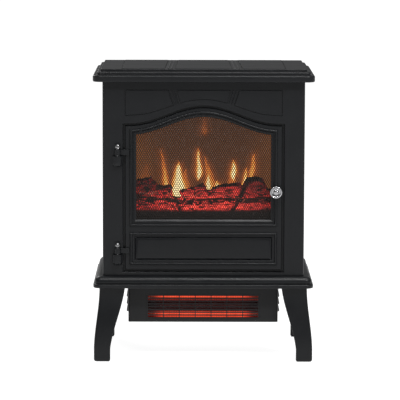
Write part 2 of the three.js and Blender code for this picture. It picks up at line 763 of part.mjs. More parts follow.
function heaterGrille() {
  const sheetBack = HEATER_FRONT_Y + SHEET + GAP;
  const flange = elevation(outletField(4), sheetBack, sheetBack + 1);
  const frame = join(elevation(outletField(0), HEATER_FRONT_Y, sheetBack + 1), flange);
  const bays = Math.round((2 * OUTLET_HALF_WIDTH) / GRILLE_BAY_PITCH);
  const slots = [];
  for (let row = 0; row < SLOT_COUNT; row += 1) {
    const z = OUTLET_MIDDLE_Z + (row - (SLOT_COUNT - 1) / 2) * SLOT_PITCH;
    for (let bay = 0; bay < bays; bay += 1) {
      const x = (bay - (bays - 1) / 2) * GRILLE_BAY_PITCH;
      const half = GRILLE_BAY_PITCH / 2 - 0.7;
      slots.push(
        block(
          [x - half, HEATER_FRONT_Y - 1, z - SLOT_HEIGHT / 2],
          [x + half, sheetBack + 2, z + SLOT_HEIGHT / 2],
        ),
      );
    }
  }
  add("heater_grille", cut(frame, ...slots), PAINTED_STEEL);
}

// A trough of bright sheet behind the two quartz tubes, which stand in ceramic end holders.
function heatingElements() {
  const mouthY = -89;
  const halfHeight = 25;
  const trough = (grow, steps = 14) =>
    Array.from({ length: steps + 1 }, (_, i) => {
      const angle = Math.PI * (0.5 - i / steps);
      return at(mouthY + (38 + grow) * Math.cos(angle), 101 + (halfHeight + grow) * Math.sin(angle));
    });
  add("reflector", crossSection([...trough(1), ...trough(0).reverse()], -117, 117), BRIGHT_STEEL);
  const tubes = { quartz_tube_upper: UPPER_TUBE_Z, quartz_tube_lower: LOWER_TUBE_Z };
  const bores = [];
  for (const [name, z] of Object.entries(tubes)) {
    add(name, bar(TUBE_RADIUS, [-128, TUBE_Y, z], [128, TUBE_Y, z]), QUARTZ);
    bores.push(bar(TUBE_RADIUS + GAP + 0.1, [-130, TUBE_Y, z], [130, TUBE_Y, z]));
  }
  const holder = (side) =>
    cut(block([side * 122 - 4.5, -86, 75.5], [side * 122 + 4.5, -62, 128]), ...bores);
  add("left_tube_holder", holder(-1), CERAMIC);
  add("right_tube_holder", holder(1), CERAMIC);
  add("thermal_cutoff", bar(6, [60, -62, 124.5], [60, -62, 131]), DARK_PLASTIC);
}

// A cross-flow blower along the back of the heater box: bladed wheel, motor, bearing and scroll.
function blower() {
  const half = 95;
  const blades = Array.from({ length: 18 }, (_, i) => {
    const blade = new THREE.BoxGeometry(2 * half, 0.9, 6.5);
    blade.rotateX(0.6).translate(0, 0, BLOWER_RADIUS - 4).rotateX((i / 18) * 2 * Math.PI);
    return solid(blade.translate(0, BLOWER_Y, BLOWER_Z));
  });
  const disc = (x) => bar(BLOWER_RADIUS, [x - 1, BLOWER_Y, BLOWER_Z], [x + 1, BLOWER_Y, BLOWER_Z]);
  const shaft = bar(2.5, [-half - 8, BLOWER_Y, BLOWER_Z], [half + 10, BLOWER_Y, BLOWER_Z], 16);
  add("blower_wheel", join(disc(-half), disc(half), shaft, ...blades), DARK_PLASTIC);
  const bore = bar(2.8, [-half - 20, BLOWER_Y, BLOWER_Z], [half + 12, BLOWER_Y, BLOWER_Z], 16);
  const floor = HEATER_BOTTOM + SHEET + GAP;
  const bearing = block([-half - 9, BLOWER_Y - 8, floor], [-half - 3, BLOWER_Y + 8, BLOWER_Z + 8]);
  add("blower_bearing", cut(bearing, bore), DARK_PLASTIC);
  const motor = join(
    bar(21, [half + 4, BLOWER_Y, BLOWER_Z], [half + 38, BLOWER_Y, BLOWER_Z]),
    block([half + 8, BLOWER_Y - 14, floor], [half + 34, BLOWER_Y + 14, BLOWER_Z]),
  );
  add("blower_motor", cut(motor, bore), BRIGHT_STEEL);
  const arc = (radius) =>
    Array.from({ length: 13 }, (_, i) => {
      const angle = THREE.MathUtils.DEG2RAD * (-100 + i * 20);
      return at(BLOWER_Y + radius * Math.cos(angle), BLOWER_Z - 1 + radius * Math.sin(angle));
    });
  add(
    "blower_duct",
    crossSection([...arc(27), ...arc(26).reverse()], -half - 1, half + 1),
    BRIGHT_STEEL,
  );
}

// ---- Rear controls ----------------------------------------------------------------------------------

function rockerSwitch(name, x) {
  const place = groupAt(x, CONTROL_FACE, CONTROL_Z);
  const pivotY = -2.5;
  const frontY = GAP;
  const rockerHalf = 5;
  const body = join(
    block([-6.6, -22, -10.6], [6.6, frontY + 1, 10.6]),
    block([-7.8, frontY, -11.8], [7.8, frontY + 1.6, 11.8]),
  );
  const pocket = block([-rockerHalf - 0.4, -9, -9.3], [rockerHalf + 0.4, frontY + 3, 9.3]);
  const trunnionHole = bar(1.5, [-6, pivotY, 0], [6, pivotY, 0], 16);
  add(name + "_switch_body", cut(body, pocket, trunnionHole), DARK_PLASTIC, place);
  const cap = [at(-3, -7.2), at(5.4, -8), at(3.6, 0), at(5.4, 8), at(-3, 7.2)];
  const rocker = join(
    crossSection(cap, -rockerHalf, rockerHalf),
    bar(1.2, [-5.8, 0, 0], [5.8, 0, 0], 16),
  );
  const mesh = add(name + "_rocker", rocker, DARK_PLASTIC, place);
  mesh.position.y = pivotY;
  mesh.rotation.x = THREE.MathUtils.degToRad(-ROCKER_TILT);
}

function controls() {
  const plate = block([72, REAR_FACE + GAP, CONTROL_Z - 24], [182, CONTROL_FACE, CONTROL_Z + 24]);
  const switchHole = (x) =>
    block([x - 6.9, REAR_FACE - 1, CONTROL_Z - 10.9], [x + 6.9, CONTROL_FACE + 1, CONTROL_Z + 10.9]);
  const shaftHole = bar(
    5,
    [THERMOSTAT_X, REAR_FACE - 1, CONTROL_Z],
    [THERMOSTAT_X, CONTROL_FACE + 1, CONTROL_Z],
  );
  add(
    "control_panel",
    cut(plate, switchHole(POWER_SWITCH_X), switchHole(HEAT_SWITCH_X), shaftHole),
    DARK_PLASTIC,
  );
  rockerSwitch("power", POWER_SWITCH_X);
  rockerSwitch("heat", HEAT_SWITCH_X);

  const place = groupAt(THERMOSTAT_X, CONTROL_FACE, CONTROL_Z);
  const body = join(
    block([-14, -28, -14], [14, -3.4, 14]),
    bar(4.4, [0, -4, 0], [0, -0.4, 0]),
    bar(3, [0, -1, 0], [0, 9, 0]),
  );
  add("thermostat_body", body, DARK_PLASTIC, place);
  const profile = [
    [0, 0.5],
    [14, 0.5],
    [14, 2.2],
    [12.6, 3],
    [11.8, 11.2],
    [11, 12.2],
    [0, 12.2],
  ];
  const skirt = turned(profile);
  const pointer = block([-1, 6, 2.4], [1, 13.2, 12.2]);
  const bore = bar(3.3, [0, 0, 0], [0, 0, 9.4]);
  const knob = add("thermostat_knob", cut(join(skirt, pointer), bore), DARK_PLASTIC, place);
  knob.rotation.x = -Math.PI / 2;
}

function rearElectrics() {
  add("control_board", block([-60, 96, 190], [60, 97.6, 250]), BOARD_GREEN);
  const place = groupAt(GLAND_X, REAR_FACE, GLAND_Z);
  const bush = turned([
    [0, -9],
    [6.2, -9],
    [6.2, GAP],
    [10, GAP],
    [10, 3],
    [8, 5],
    [6.5, 9],
    [0, 9],
  ]);
  const wireway = bar(3.6, [0, 0, -10], [0, 0, 10], 20);
  add("cord_gland", cut(bush, wireway), DARK_PLASTIC, place).rotation.x = -Math.PI / 2;
}

// ---- Build ------------------------------------------------------------------------------------------

topPlate();
basePlate();
legs();
frontPanel();
sidePanels();
rearPanel();
doorFrame();
doorFillings();
doorKnob();
hinge("upper_hinge", UPPER_HINGE_Z);
hinge("lower_hinge", LOWER_HINGE_Z);
firebox();
flameDrive();
heaterHousing();
heaterGrille();
heatingElements();
blower();
controls();
rearElectrics();

export default stove;
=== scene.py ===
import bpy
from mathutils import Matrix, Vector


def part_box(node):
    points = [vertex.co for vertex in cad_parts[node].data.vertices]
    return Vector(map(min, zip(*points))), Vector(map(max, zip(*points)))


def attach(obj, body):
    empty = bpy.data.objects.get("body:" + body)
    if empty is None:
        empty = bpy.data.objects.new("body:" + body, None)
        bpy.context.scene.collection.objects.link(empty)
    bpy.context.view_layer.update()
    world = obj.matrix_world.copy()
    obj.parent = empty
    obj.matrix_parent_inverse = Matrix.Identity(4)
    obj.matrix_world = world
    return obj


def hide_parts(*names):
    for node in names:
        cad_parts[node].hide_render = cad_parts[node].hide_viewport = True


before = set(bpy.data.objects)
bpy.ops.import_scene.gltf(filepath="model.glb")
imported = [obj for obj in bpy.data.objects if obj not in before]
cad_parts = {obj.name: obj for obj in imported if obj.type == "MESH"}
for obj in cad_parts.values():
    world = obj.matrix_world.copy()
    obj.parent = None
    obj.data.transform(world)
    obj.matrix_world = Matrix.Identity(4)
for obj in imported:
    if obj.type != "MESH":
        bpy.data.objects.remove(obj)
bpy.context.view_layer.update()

import math

import bmesh
import bpy
from mathutils import Euler, Matrix, Vector, noise

bl_info = {
    "name": "Electric Stove Heater",
    "version": (1, 0, 0),
    "blender": (4, 5, 0),
    "location": "View3D > Sidebar > Stove",
    "description": "Builds the visible pieces of an electric stove heater round its packed frame",
    "category": "Add Mesh",
}

MM = 0.001
DEG = math.pi / 180


def box_mm(node):
    """Lowest and highest corner of a frame node in millimetres."""
    low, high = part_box(node)
    return low / MM, high / MM


def middle_mm(node):
    """Middle of a frame node's box in millimetres."""
    low, high = box_mm(node)
    return tuple((a + b) / 2 for a, b in zip(low, high))


# ---- Places taken from the frame ---------------------------------------------

TOP_LOW, TOP_HIGH = box_mm("top_plate")
BASE_LOW, BASE_HIGH = box_mm("base_plate")
PANEL_LOW, PANEL_HIGH = box_mm("front_panel")
SIDE_LOW, SIDE_HIGH = box_mm("right_side_panel")
REAR_LOW, REAR_HIGH = box_mm("rear_panel")
DOOR_LOW, DOOR_HIGH = box_mm("door_frame")
HEATER_LOW, HEATER_HIGH = box_mm("heater_housing")
GRILLE_LOW, GRILLE_HIGH = box_mm("heater_grille")

PAD_RAISE = 0.8
BEAD_RAISE = 4.0
BODY_HALF = PANEL_HIGH.x
FACE = PANEL_LOW.y + PAD_RAISE
PANEL_BACK = PANEL_HIGH.y
DOOR_FACE = DOOR_LOW.y + BEAD_RAISE
DOOR_BACK = DOOR_HIGH.y
RECESS_FLOOR = DOOR_BACK + 0.3
REAR_FACE = REAR_HIGH.y

# The arch runs down level this far from the middle of the door.
ARCH_FLAT = 143.0

# Each arched outline is (half width, bottom, height at the sides, rise of the arch).
RECESS = (157.0, 175.0, 466.0, 35.0)
DOOR = (152.5, 179.5, 461.5, 35.0)
WINDOW_BEAD = (141.0, 267.5, 452.3, 36.0)
WINDOW = (131.0, 278.3, 443.6, 35.1)

# Each framed outline is (half width, half height, height of its middle).
LOWER_OPENING = (133.0, 22.0, 221.0)
LOWER_BEAD = (141.0, 29.35, 220.95)

# The catch's pocket in the front panel, and the one opposite in the door.
CATCH_POCKET = (140.0, 380.0, 150.0, 395.0)
STRIKER_POCKET = (139.4, 379.4, 150.6, 395.6)


# ---- Mesh building: every helper works in millimetres ------------------------

MERGE = 2e-6
SMALLEST_RADIUS = 1e-4
SMOOTH_ANGLE = 34.0


def solid(name, points, faces, smooth_angle=SMOOTH_ANGLE):
    """A closed mesh object from points in millimetres, with its faces turned outwards."""
    mesh = bpy.data.meshes.new(name)
    mesh.from_pydata([Vector(p) * MM for p in points], [], faces)
    piece = bpy.data.objects.new(name, mesh)
    bpy.context.scene.collection.objects.link(piece)
    clean(piece, smooth_angle)
    return piece


def clean(piece, smooth_angle=SMOOTH_ANGLE):
    """Merges doubles, turns the faces outwards and marks the sharp edges."""
    work = bmesh.new()
    work.from_mesh(piece.data)
    bmesh.ops.remove_doubles(work, verts=work.verts, dist=MERGE)
    bmesh.ops.dissolve_degenerate(work, dist=MERGE, edges=work.edges)
    bmesh.ops.recalc_face_normals(work, faces=work.faces)
    work.to_mesh(piece.data)
    work.free()
    piece.data.shade_smooth()
    piece.data.set_sharp_from_angle(angle=smooth_angle * DEG)


def skin(rings, around=False):
    """Points and faces of a skin over rings of equal point count, with lids or closed on itself."""
    count = len(rings[0])
    points = [p for ring in rings for p in ring]
    faces = []
    spans = len(rings) if around else len(rings) - 1
    for ring in range(spans):
        near = ring * count
        far = (ring + 1) % len(rings) * count
        for i in range(count):
            j = (i + 1) % count
            faces.append((near + i, near + j, far + j, far + i))
    if not around:
        faces.append(tuple(reversed(range(count))))
        faces.append(tuple(range(len(points) - count, len(points))))
    return points, faces


def in_plan(outline, z):
    """An (x, y) outline laid flat at a height."""
    return [(x, y, z) for x, y in outline]


def in_front(outline, y):
    """An (x, z) outline stood upright at a depth."""
    return [(x, y, z) for x, z in outline]


def in_section(outline, x):
    """A (y, z) outline stood across the stove."""
    return [(x, y, z) for y, z in outline]


def slab(name, outline, place, low, high, **more):
    """An outline given thickness: place is in_plan, in_front or in_section."""
    return solid(name, *skin([place(outline, low), place(outline, high)]), **more)


def rectangle(left, bottom, right, top):
    return [(left, bottom), (right, bottom), (right, top), (left, top)]


def block(name, low, high, **more):
    return slab(name, rectangle(low[0], low[1], high[0], high[1]), in_plan, low[2], high[2], **more)


def rounded(half_x, half_y, radius, steps=8, centre=(0.0, 0.0)):
    """A rectangle with round corners."""
    outline = []
    for corner in range(4):
        cx = centre[0] + (half_x - radius) * (1 if corner in (0, 3) else -1)
        cy = centre[1] + (half_y - radius) * (1 if corner < 2 else -1)
        for i in range(steps + 1):
            angle = (corner + i / steps) * math.pi / 2
            outline.append((cx + radius * math.cos(angle), cy + radius * math.sin(angle)))
    return outline


def filleted(corners, steps=5, closed=False):
    """A line through corners, each given as (x, y, radius), with its corners rounded."""
    line = []
    last = len(corners) - 1
    for i, (x, y, radius) in enumerate(corners):
        here = Vector((x, y))
        if radius == 0 or (not closed and i in (0, last)):
            line.append((x, y))
            continue
        back = (Vector(corners[i - 1][:2]) - here).normalized()
        ahead = (Vector(corners[(i + 1) % (last + 1)][:2]) - here).normalized()
        half_angle = back.angle(ahead) / 2
        reach = radius / math.tan(half_angle)
        centre = here + (back + ahead).normalized() * radius / math.sin(half_angle)
        start = here + back * reach - centre
        end = here + ahead * reach - centre
        turn = start.angle_signed(end)
        for step in range(steps + 1):
            arm = start.copy()
            arm.rotate(Matrix.Rotation(-turn * step / steps, 2))
            line.append(tuple(centre + arm))
    return line


def widened(outline, margin):
    """An outline moved outwards by a margin, whichever way round it runs."""
    points = [Vector(p) for p in outline]
    area = sum(a.cross(b) for a, b in zip(points, points[1:] + points[:1]))
    outwards = math.copysign(margin, area)
    grown_line = []
    for i, point in enumerate(points):
        back = (point - points[i - 1]).normalized()
        ahead = (points[(i + 1) % len(points)] - point).normalized()
        normal = Vector((back.y + ahead.y, -back.x - ahead.x)) / (1 + back.dot(ahead))
        grown_line.append(tuple(point + normal * outwards))
    return grown_line


def flipped(outline):
    """An outline turned over left to right, still running the same way round."""
    return [(-x, y) for x, y in reversed(outline)]


def circle(radius, sides):
    return [
        (radius * math.cos(2 * math.pi * i / sides), radius * math.sin(2 * math.pi * i / sides))
        for i in range(sides)
    ]


def sweep(start, end, steps):
    """Equal angles from start to end, given in degrees and returned in radians."""
    return [math.radians(start + (end - start) * i / steps) for i in range(steps + 1)]


def turned(name, profile, origin, axis, sides=64, **more):
    """A turned piece from (radius, height) pairs, standing at origin along axis."""
    spin = Vector((0, 0, 1)).rotation_difference(Vector(axis))
    rings = []
    for radius, height in profile:
        line = circle(max(radius, SMALLEST_RADIUS), sides)
        rings.append([Vector(origin) + spin @ Vector((a, b, height)) for a, b in line])
    return solid(name, *skin(rings), **more)


def rod(name, radius, start, end, sides=24, **more):
    span = Vector(end) - Vector(start)
    profile = [(radius, 0), (radius, span.length)]
    return turned(name, profile, start, span.normalized(), sides, **more)


def arch_height(x, side, rise):
    """Height of an ogee arch with a soft peak in the middle."""
    return side + rise * (1 + math.cos(math.pi * min(abs(x), ARCH_FLAT) / ARCH_FLAT)) / 2


def arched(outline, grow):
    """A door-shaped outline, square at the bottom and arched at the top, larger by a margin."""
    half, bottom, side, rise = outline
    half, bottom, side, steps = half + grow, bottom - grow, side + grow, 72
    top = [half - 2 * half * i / steps for i in range(steps + 1)]
    return [(-half, bottom), (half, bottom)] + [(x, arch_height(x, side, rise)) for x in top]


def framed(outline, grow):
    """A rectangle given as (half width, half height, middle height), larger by a margin."""
    half_x, half_z, middle = outline
    return rectangle(-half_x - grow, middle - half_z - grow, half_x + grow, middle + half_z + grow)


# ---- Working on pieces -------------------------------------------------------

def remove(piece):
    """Deletes a piece, and its mesh where nothing else uses it."""
    mesh = piece.data
    bpy.data.objects.remove(piece)
    if mesh.users == 0:
        bpy.data.meshes.remove(mesh)


def settle(piece):
    """Turns the evaluated piece into its plain mesh and drops its modifiers."""
    graph = bpy.context.evaluated_depsgraph_get()
    graph.update()
    mesh = bpy.data.meshes.new_from_object(piece.evaluated_get(graph), depsgraph=graph)
    if not mesh.polygons:
        raise RuntimeError(piece.name + " came out empty")
    piece.modifiers.clear()
    old = piece.data
    piece.data = mesh
    mesh.name = piece.name
    bpy.data.meshes.remove(old)
    return piece


def combine(piece, operation, tools):
    """Joins, cuts or clips a piece with other solids, which are used up."""
    for tool in tools:
        change = piece.modifiers.new("combine", "BOOLEAN")
        change.operation = operation
        change.solver = "MANIFOLD"
        change.object = tool
    settle(piece)
    for tool in tools:
        remove(tool)
    clean(piece)
    return piece


def join(piece, *tools):
    return combine(piece, "UNION", tools)


def cut(piece, *tools):
    return combine(piece, "DIFFERENCE", tools)


def beside(name, *parts):
    """One object of several solids that don't meet."""
    work = bmesh.new()
    for part in parts:
        work.from_mesh(part.data)
        remove(part)
    mesh = bpy.data.meshes.new(name)
    work.to_mesh(mesh)
    work.free()
    piece = bpy.data.objects.new(name, mesh)
    bpy.context.scene.collection.objects.link(piece)
    clean(piece)
    return piece


def ease(piece, width, segments, angle=32.0):
    """Rounds the sharp edges of a piece."""
    bevel = piece.modifiers.new("ease", "BEVEL")
    bevel.width = width * MM
    bevel.segments = segments
    bevel.limit_method = "ANGLE"
    bevel.angle_limit = angle * DEG
    bevel.use_clamp_overlap = True
    bevel.harden_normals = True
    bevel.miter_outer = "MITER_ARC"
    settle(piece)
    return piece


def mirrored(piece, name, sx=-1, sy=1):
    """A copy turned over left to right, or front to back."""
    twin = piece.copy()
    twin.data = piece.data.copy()
    twin.name = name
    twin.data.name = name
    bpy.context.scene.collection.objects.link(twin)
    twin.data.transform(Matrix.Diagonal((sx, sy, 1, 1)))
    if sx * sy < 0:
        twin.data.flip_normals()
    return twin


def stripped(piece, smooth_angle=SMOOTH_ANGLE):
    """The same piece, cleaned, without the material slots that its tree gave it."""
    piece.data.materials.clear()
    clean(piece, smooth_angle)
    return piece


def coat_node(node, material):
    """Gives a frame node a better finish in its own material slots."""
    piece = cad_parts[node]
    if not piece.material_slots:
        piece.data.materials.append(material)
    for place in piece.material_slots:
        place.material = material


# ---- Geometry Nodes trees ----------------------------------------------------

class Tree:
    """A Geometry Nodes tree under construction, with named inputs."""

    def __init__(self, name):
        self.group = bpy.data.node_groups.new(name, "GeometryNodeTree")
        self.socket("Geometry", "OUTPUT", "Geometry")
        self.entry = self.group.nodes.new("NodeGroupInput")
        self.exit = self.group.nodes.new("NodeGroupOutput")

    def socket(self, name, side, kind):
        return self.group.interface.new_socket(name, in_out=side, socket_type="NodeSocket" + kind)

    def input(self, name, kind, default=None):
        socket = self.socket(name, "INPUT", kind)
        if default is not None:
            socket.default_value = default
        return self.entry.outputs[name]

    def node(self, kind, settings=None, **sockets):
        """A node with its settings made first and its sockets filled; names use _ for a space."""
        node = self.group.nodes.new(kind)
        for key, value in (settings or {}).items():
            setattr(node, key, value)
        for key, value in sockets.items():
            label = key.replace("_", " ")
            socket = next(s for s in node.inputs if s.name == label and s.enabled)
            if isinstance(value, bpy.types.NodeSocket):
                self.group.links.new(value, socket)
            else:
                socket.default_value = value
        return node

    def close(self, geometry, material):
        real = self.node("GeometryNodeRealizeInstances", Geometry=geometry)
        coated = self.node("GeometryNodeSetMaterial", Geometry=real.outputs[0], Material=material)
        self.group.links.new(coated.outputs[0], self.exit.inputs[0])


def copies_tree():
    """Copies of one object, each a step and a turn on from the last, in several equal rows."""
    tree = Tree("Stepped Copies")
    copy = tree.input("Copy", "Object")
    count = tree.input("Count", "Int", 8)
    start = tree.input("Start", "Vector")
    step = tree.input("Step", "Vector")
    turn = tree.input("Turn", "Rotation")
    turn_step = tree.input("Turn Step", "Vector")
    rows = tree.input("Rows", "Int", 1)
    row_step = tree.input("Row Step", "Vector")
    material = tree.input("Finish", "Material")
    line = tree.node(
        "GeometryNodeMeshLine",
        {"mode": "OFFSET"},
        Count=count,
        Start_Location=start,
        Offset=step,
    )
    index = tree.node("GeometryNodeInputIndex").outputs[0]
    angle = tree.node("ShaderNodeVectorMath", {"operation": "SCALE"}, Vector=turn_step, Scale=index)
    spin = tree.node("FunctionNodeEulerToRotation", Euler=angle.outputs[0])
    both = tree.node("FunctionNodeRotateRotation", Rotation=turn, Rotate_By=spin.outputs[0])
    shape = tree.node("GeometryNodeObjectInfo", {"transform_space": "ORIGINAL"}, Object=copy)
    placed = tree.node(
        "GeometryNodeInstanceOnPoints",
        Points=line.outputs[0],
        Instance=shape.outputs["Geometry"],
        Rotation=both.outputs[0],
    )
    column = tree.node("GeometryNodeMeshLine", {"mode": "OFFSET"}, Count=rows, Offset=row_step)
    block_of_rows = tree.node(
        "GeometryNodeInstanceOnPoints",
        Points=column.outputs[0],
        Instance=placed.outputs[0],
    )
    tree.close(block_of_rows.outputs[0], material)
    return tree.group


def scatter_tree():
    """Copies of one object strewn over a surface, each turned and sized by a seeded draw."""
    tree = Tree("Strewn Copies")
    ground = tree.input("Ground", "Object")
    copy = tree.input("Copy", "Object")
    spacing = tree.input("Spacing", "Float", 0.004)
    smallest = tree.input("Smallest", "Float", 0.6)
    largest = tree.input("Largest", "Float", 1.3)
    material = tree.input("Finish", "Material")
    floor = tree.node("GeometryNodeObjectInfo", {"transform_space": "ORIGINAL"}, Object=ground)
    strewn = tree.node(
        "GeometryNodeDistributePointsOnFaces",
        {"distribute_method": "POISSON"},
        Mesh=floor.outputs["Geometry"],
        Distance_Min=spacing,
        Density_Max=1.0e6,
        Seed=7,
    )
    turn = tree.node(
        "FunctionNodeRandomValue",
        {"data_type": "FLOAT_VECTOR"},
        Max=(6.28, 6.28, 6.28),
        Seed=3,
    )
    size = tree.node(
        "FunctionNodeRandomValue",
        {"data_type": "FLOAT"},
        Min=smallest,
        Max=largest,
        Seed=5,
    )
    shape = tree.node("GeometryNodeObjectInfo", {"transform_space": "ORIGINAL"}, Object=copy)
    placed = tree.node(
        "GeometryNodeInstanceOnPoints",
        Points=strewn.outputs["Points"],
        Instance=shape.outputs["Geometry"],
        Rotation=turn.outputs["Value"],
        Scale=size.outputs[1],
    )
    tree.close(placed.outputs[0], material)
    return tree.group


def coil_tree():
    """A wire wound in a helix along X."""
    tree = Tree("Wound Wire")
    turns = tree.input("Turns", "Float", 60.0)
    radius = tree.input("Radius", "Float", 0.003)
    length = tree.input("Length", "Float", 0.2)
    wire = tree.input("Wire Radius", "Float", 0.0005)
    centre = tree.input("Centre", "Vector")
    material = tree.input("Finish", "Material")
    helix = tree.node(
        "GeometryNodeCurveSpiral",
        Resolution=10,
        Rotations=turns,
        Start_Radius=radius,
        End_Radius=radius,
        Height=length,
    )
    section = tree.node(
        "GeometryNodeCurvePrimitiveCircle",
        {"mode": "RADIUS"},
        Resolution=5,
        Radius=wire,
    )
    tube = tree.node(
        "GeometryNodeCurveToMesh",
        Curve=helix.outputs[0],
        Profile_Curve=section.outputs[0],
        Fill_Caps=True,
    )
    laid = tree.node(
        "GeometryNodeTransform",
        Geometry=tube.outputs[0],
        Translation=centre,
        Rotation=(0.0, math.pi / 2, 0.0),
    )
    tree.close(laid.outputs[0], material)
    return tree.group


def tree_named(name, make):
    """The tree of that name, made at its first use."""
    return bpy.data.node_groups.get(name) or make()


def grown(name, group, **inputs):
    """A piece made by a Geometry Nodes tree, as a plain mesh. Names use _ for a space."""
    piece = bpy.data.objects.new(name, bpy.data.meshes.new(name))
    bpy.context.scene.collection.objects.link(piece)
    change = piece.modifiers.new("grow", "NODES")
    change.node_group = group
    for key, value in inputs.items():
        change[group.interface.items_tree[key.replace("_", " ")].identifier] = value
    settle(piece)
    return piece


def metres(values):
    """Millimetres turned into the metres that a tree's inputs take."""
    return [v * MM for v in values]


def stepped(name, copy, count, start, step=(0, 0, 0), turn=(0, 0, 0), turn_step=(0, 0, 0),
            rows=1, row_step=(0, 0, 0), keep_copy=False):
    """Equal copies a step and a turn apart, as one mesh, in millimetres and radians."""
    piece = grown(
        name,
        tree_named("Stepped Copies", copies_tree),
        Copy=copy,
        Count=count,
        Start=metres(start),
        Step=metres(step),
        Turn=turn,
        Turn_Step=turn_step,
        Rows=rows,
        Row_Step=metres(row_step),
    )
    if not keep_copy:
        remove(copy)
    return stripped(piece)


# ---- Shader writing ----------------------------------------------------------

WHITE = (1.0, 1.0, 1.0)


class Value:
    """A shader socket in an expression: each operator adds its Math node."""

    def __init__(self, finish, socket):
        self.finish = finish
        self.socket = socket

    def __add__(self, other):
        return self.finish.math("ADD", self, other)

    def __sub__(self, other):
        return self.finish.math("SUBTRACT", self, other)

    def __mul__(self, other):
        return self.finish.math("MULTIPLY", self, other)

    def __truediv__(self, other):
        return self.finish.math("DIVIDE", self, other)

    def __pow__(self, other):
        return self.finish.math("POWER", self, other)

    def __rsub__(self, other):
        return self.finish.math("SUBTRACT", other, self)

    def __abs__(self):
        return self.finish.math("ABSOLUTE", self)

    __radd__ = __add__
    __rmul__ = __mul__

    def clamped(self):
        return self.finish.node("ShaderNodeClamp", sockets={"Value": self})

    def larger(self, other):
        return self.finish.math("MAXIMUM", self, other)

    def smaller(self, other):
        return self.finish.math("MINIMUM", self, other)

    def sine(self):
        return self.finish.math("SINE", self)


class Finish:
    """A material under construction, with its Principled shader."""

    def __init__(self, name, **constants):
        self.material = bpy.data.materials.new(name)
        self.material.use_nodes = True
        self.tree = self.material.node_tree
        self.shader = self.tree.nodes["Principled BSDF"]
        coordinates = self.tree.nodes.new("ShaderNodeTexCoord")
        self.place = coordinates.outputs["Object"]
        self.set(**constants)

    def fill(self, socket, value):
        if isinstance(value, Value):
            value = value.socket
        if isinstance(value, bpy.types.NodeSocket):
            self.tree.links.new(value, socket)
        elif socket.type == "RGBA":
            socket.default_value = (*value[:3], 1.0)
        else:
            socket.default_value = value

    def set(self, **sockets):
        """Fills the Principled shader's sockets; names use _ for a space."""
        for key, value in sockets.items():
            self.fill(self.shader.inputs[key.replace("_", " ")], value)

    def node(self, kind, settings=None, sockets=None, output=0):
        node = self.tree.nodes.new(kind)
        for key, value in (settings or {}).items():
            setattr(node, key, value)
        for key, value in (sockets or {}).items():
            self.fill(node.inputs[key], value)
        return Value(self, node.outputs[output])

    def math(self, operation, *values):
        return self.node("ShaderNodeMath", {"operation": operation}, dict(enumerate(values)))

    def axes(self):
        """X, Y and Z in millimetres."""
        node = self.node("ShaderNodeSeparateXYZ", sockets={"Vector": self.place}).socket.node
        return [Value(self, node.outputs[i]) * 1000 for i in range(3)]

    def stretched(self, scale):
        return self.node("ShaderNodeMapping", sockets={"Vector": self.place, "Scale": scale})

    def noise(self, size, detail=3.0, roughness=0.5, place=None, distortion=0.0):
        """Noise whose lumps are about the given size in millimetres."""
        return self.node("ShaderNodeTexNoise", sockets={
            "Vector": place or self.place,
            "Scale": 1000 / size,
            "Detail": detail,
            "Roughness": roughness,
            "Distortion": distortion,
        })

    def cells(self, size, feature="F1", place=None, randomness=1.0):
        return self.node("ShaderNodeTexVoronoi", {"feature": feature}, {
            "Vector": place or self.place,
            "Scale": 1000 / size,
            "Randomness": randomness,
        })

    def span(self, value, low, high, out_low=0.0, out_high=1.0):
        """A value spread from low..high to out_low..out_high, smoothly and clamped."""
        return self.node("ShaderNodeMapRange", {"interpolation_type": "SMOOTHSTEP"}, {
            "Value": value,
            "From Min": low,
            "From Max": high,
            "To Min": out_low,
            "To Max": out_high,
        })

    def blend(self, factor, first, second, mode="MIX"):
        node = self.tree.nodes.new("ShaderNodeMix")
        node.data_type = "RGBA"
        node.blend_type = mode
        self.fill(node.inputs[0], factor)
        self.fill(node.inputs[6], first)
        self.fill(node.inputs[7], second)
        return Value(self, node.outputs[2])

    def ramp(self, factor, stops):
        node = self.tree.nodes.new("ShaderNodeValToRGB")
        bands = node.color_ramp.elements
        while len(bands) < len(stops):
            bands.new(0.5)
        for band, (position, colour) in zip(bands, stops):
            band.position = position
            band.color = (*colour, 1.0)
        self.fill(node.inputs[0], factor)
        return Value(self, node.outputs[0])

    def bump(self, height, depth, strength, under=None):
        """Relief of a height field whose range is the given depth in millimetres."""
        sockets = {"Height": height, "Distance": depth * MM, "Strength": strength}
        if under is not None:
            sockets["Normal"] = under
        return self.node("ShaderNodeBump", sockets=sockets)


def satin_black():
    """Black moulding with a fine cast grain, faint cloudiness and scattered specks of dust."""
    made = Finish("satin_black_moulding", Specular_IOR_Level=0.2)
    cloud = made.noise(38, 4)
    grain = made.noise(0.55, 2)
    speck = made.span(made.noise(2.2, 3), 0.62, 0.72)
    tone = made.blend(cloud, (0.0036, 0.004, 0.0048), (0.006, 0.0065, 0.0074))
    made.set(
        Base_Color=made.blend(speck * 0.2, tone, (0.03, 0.03, 0.032)),
        Roughness=made.span(cloud, 0.3, 0.7, 0.28, 0.35) + grain * 0.06,
        Normal=made.bump(grain, 0.02, 0.55, made.bump(made.noise(9, 2), 0.05, 0.35)),
    )
    return made.material


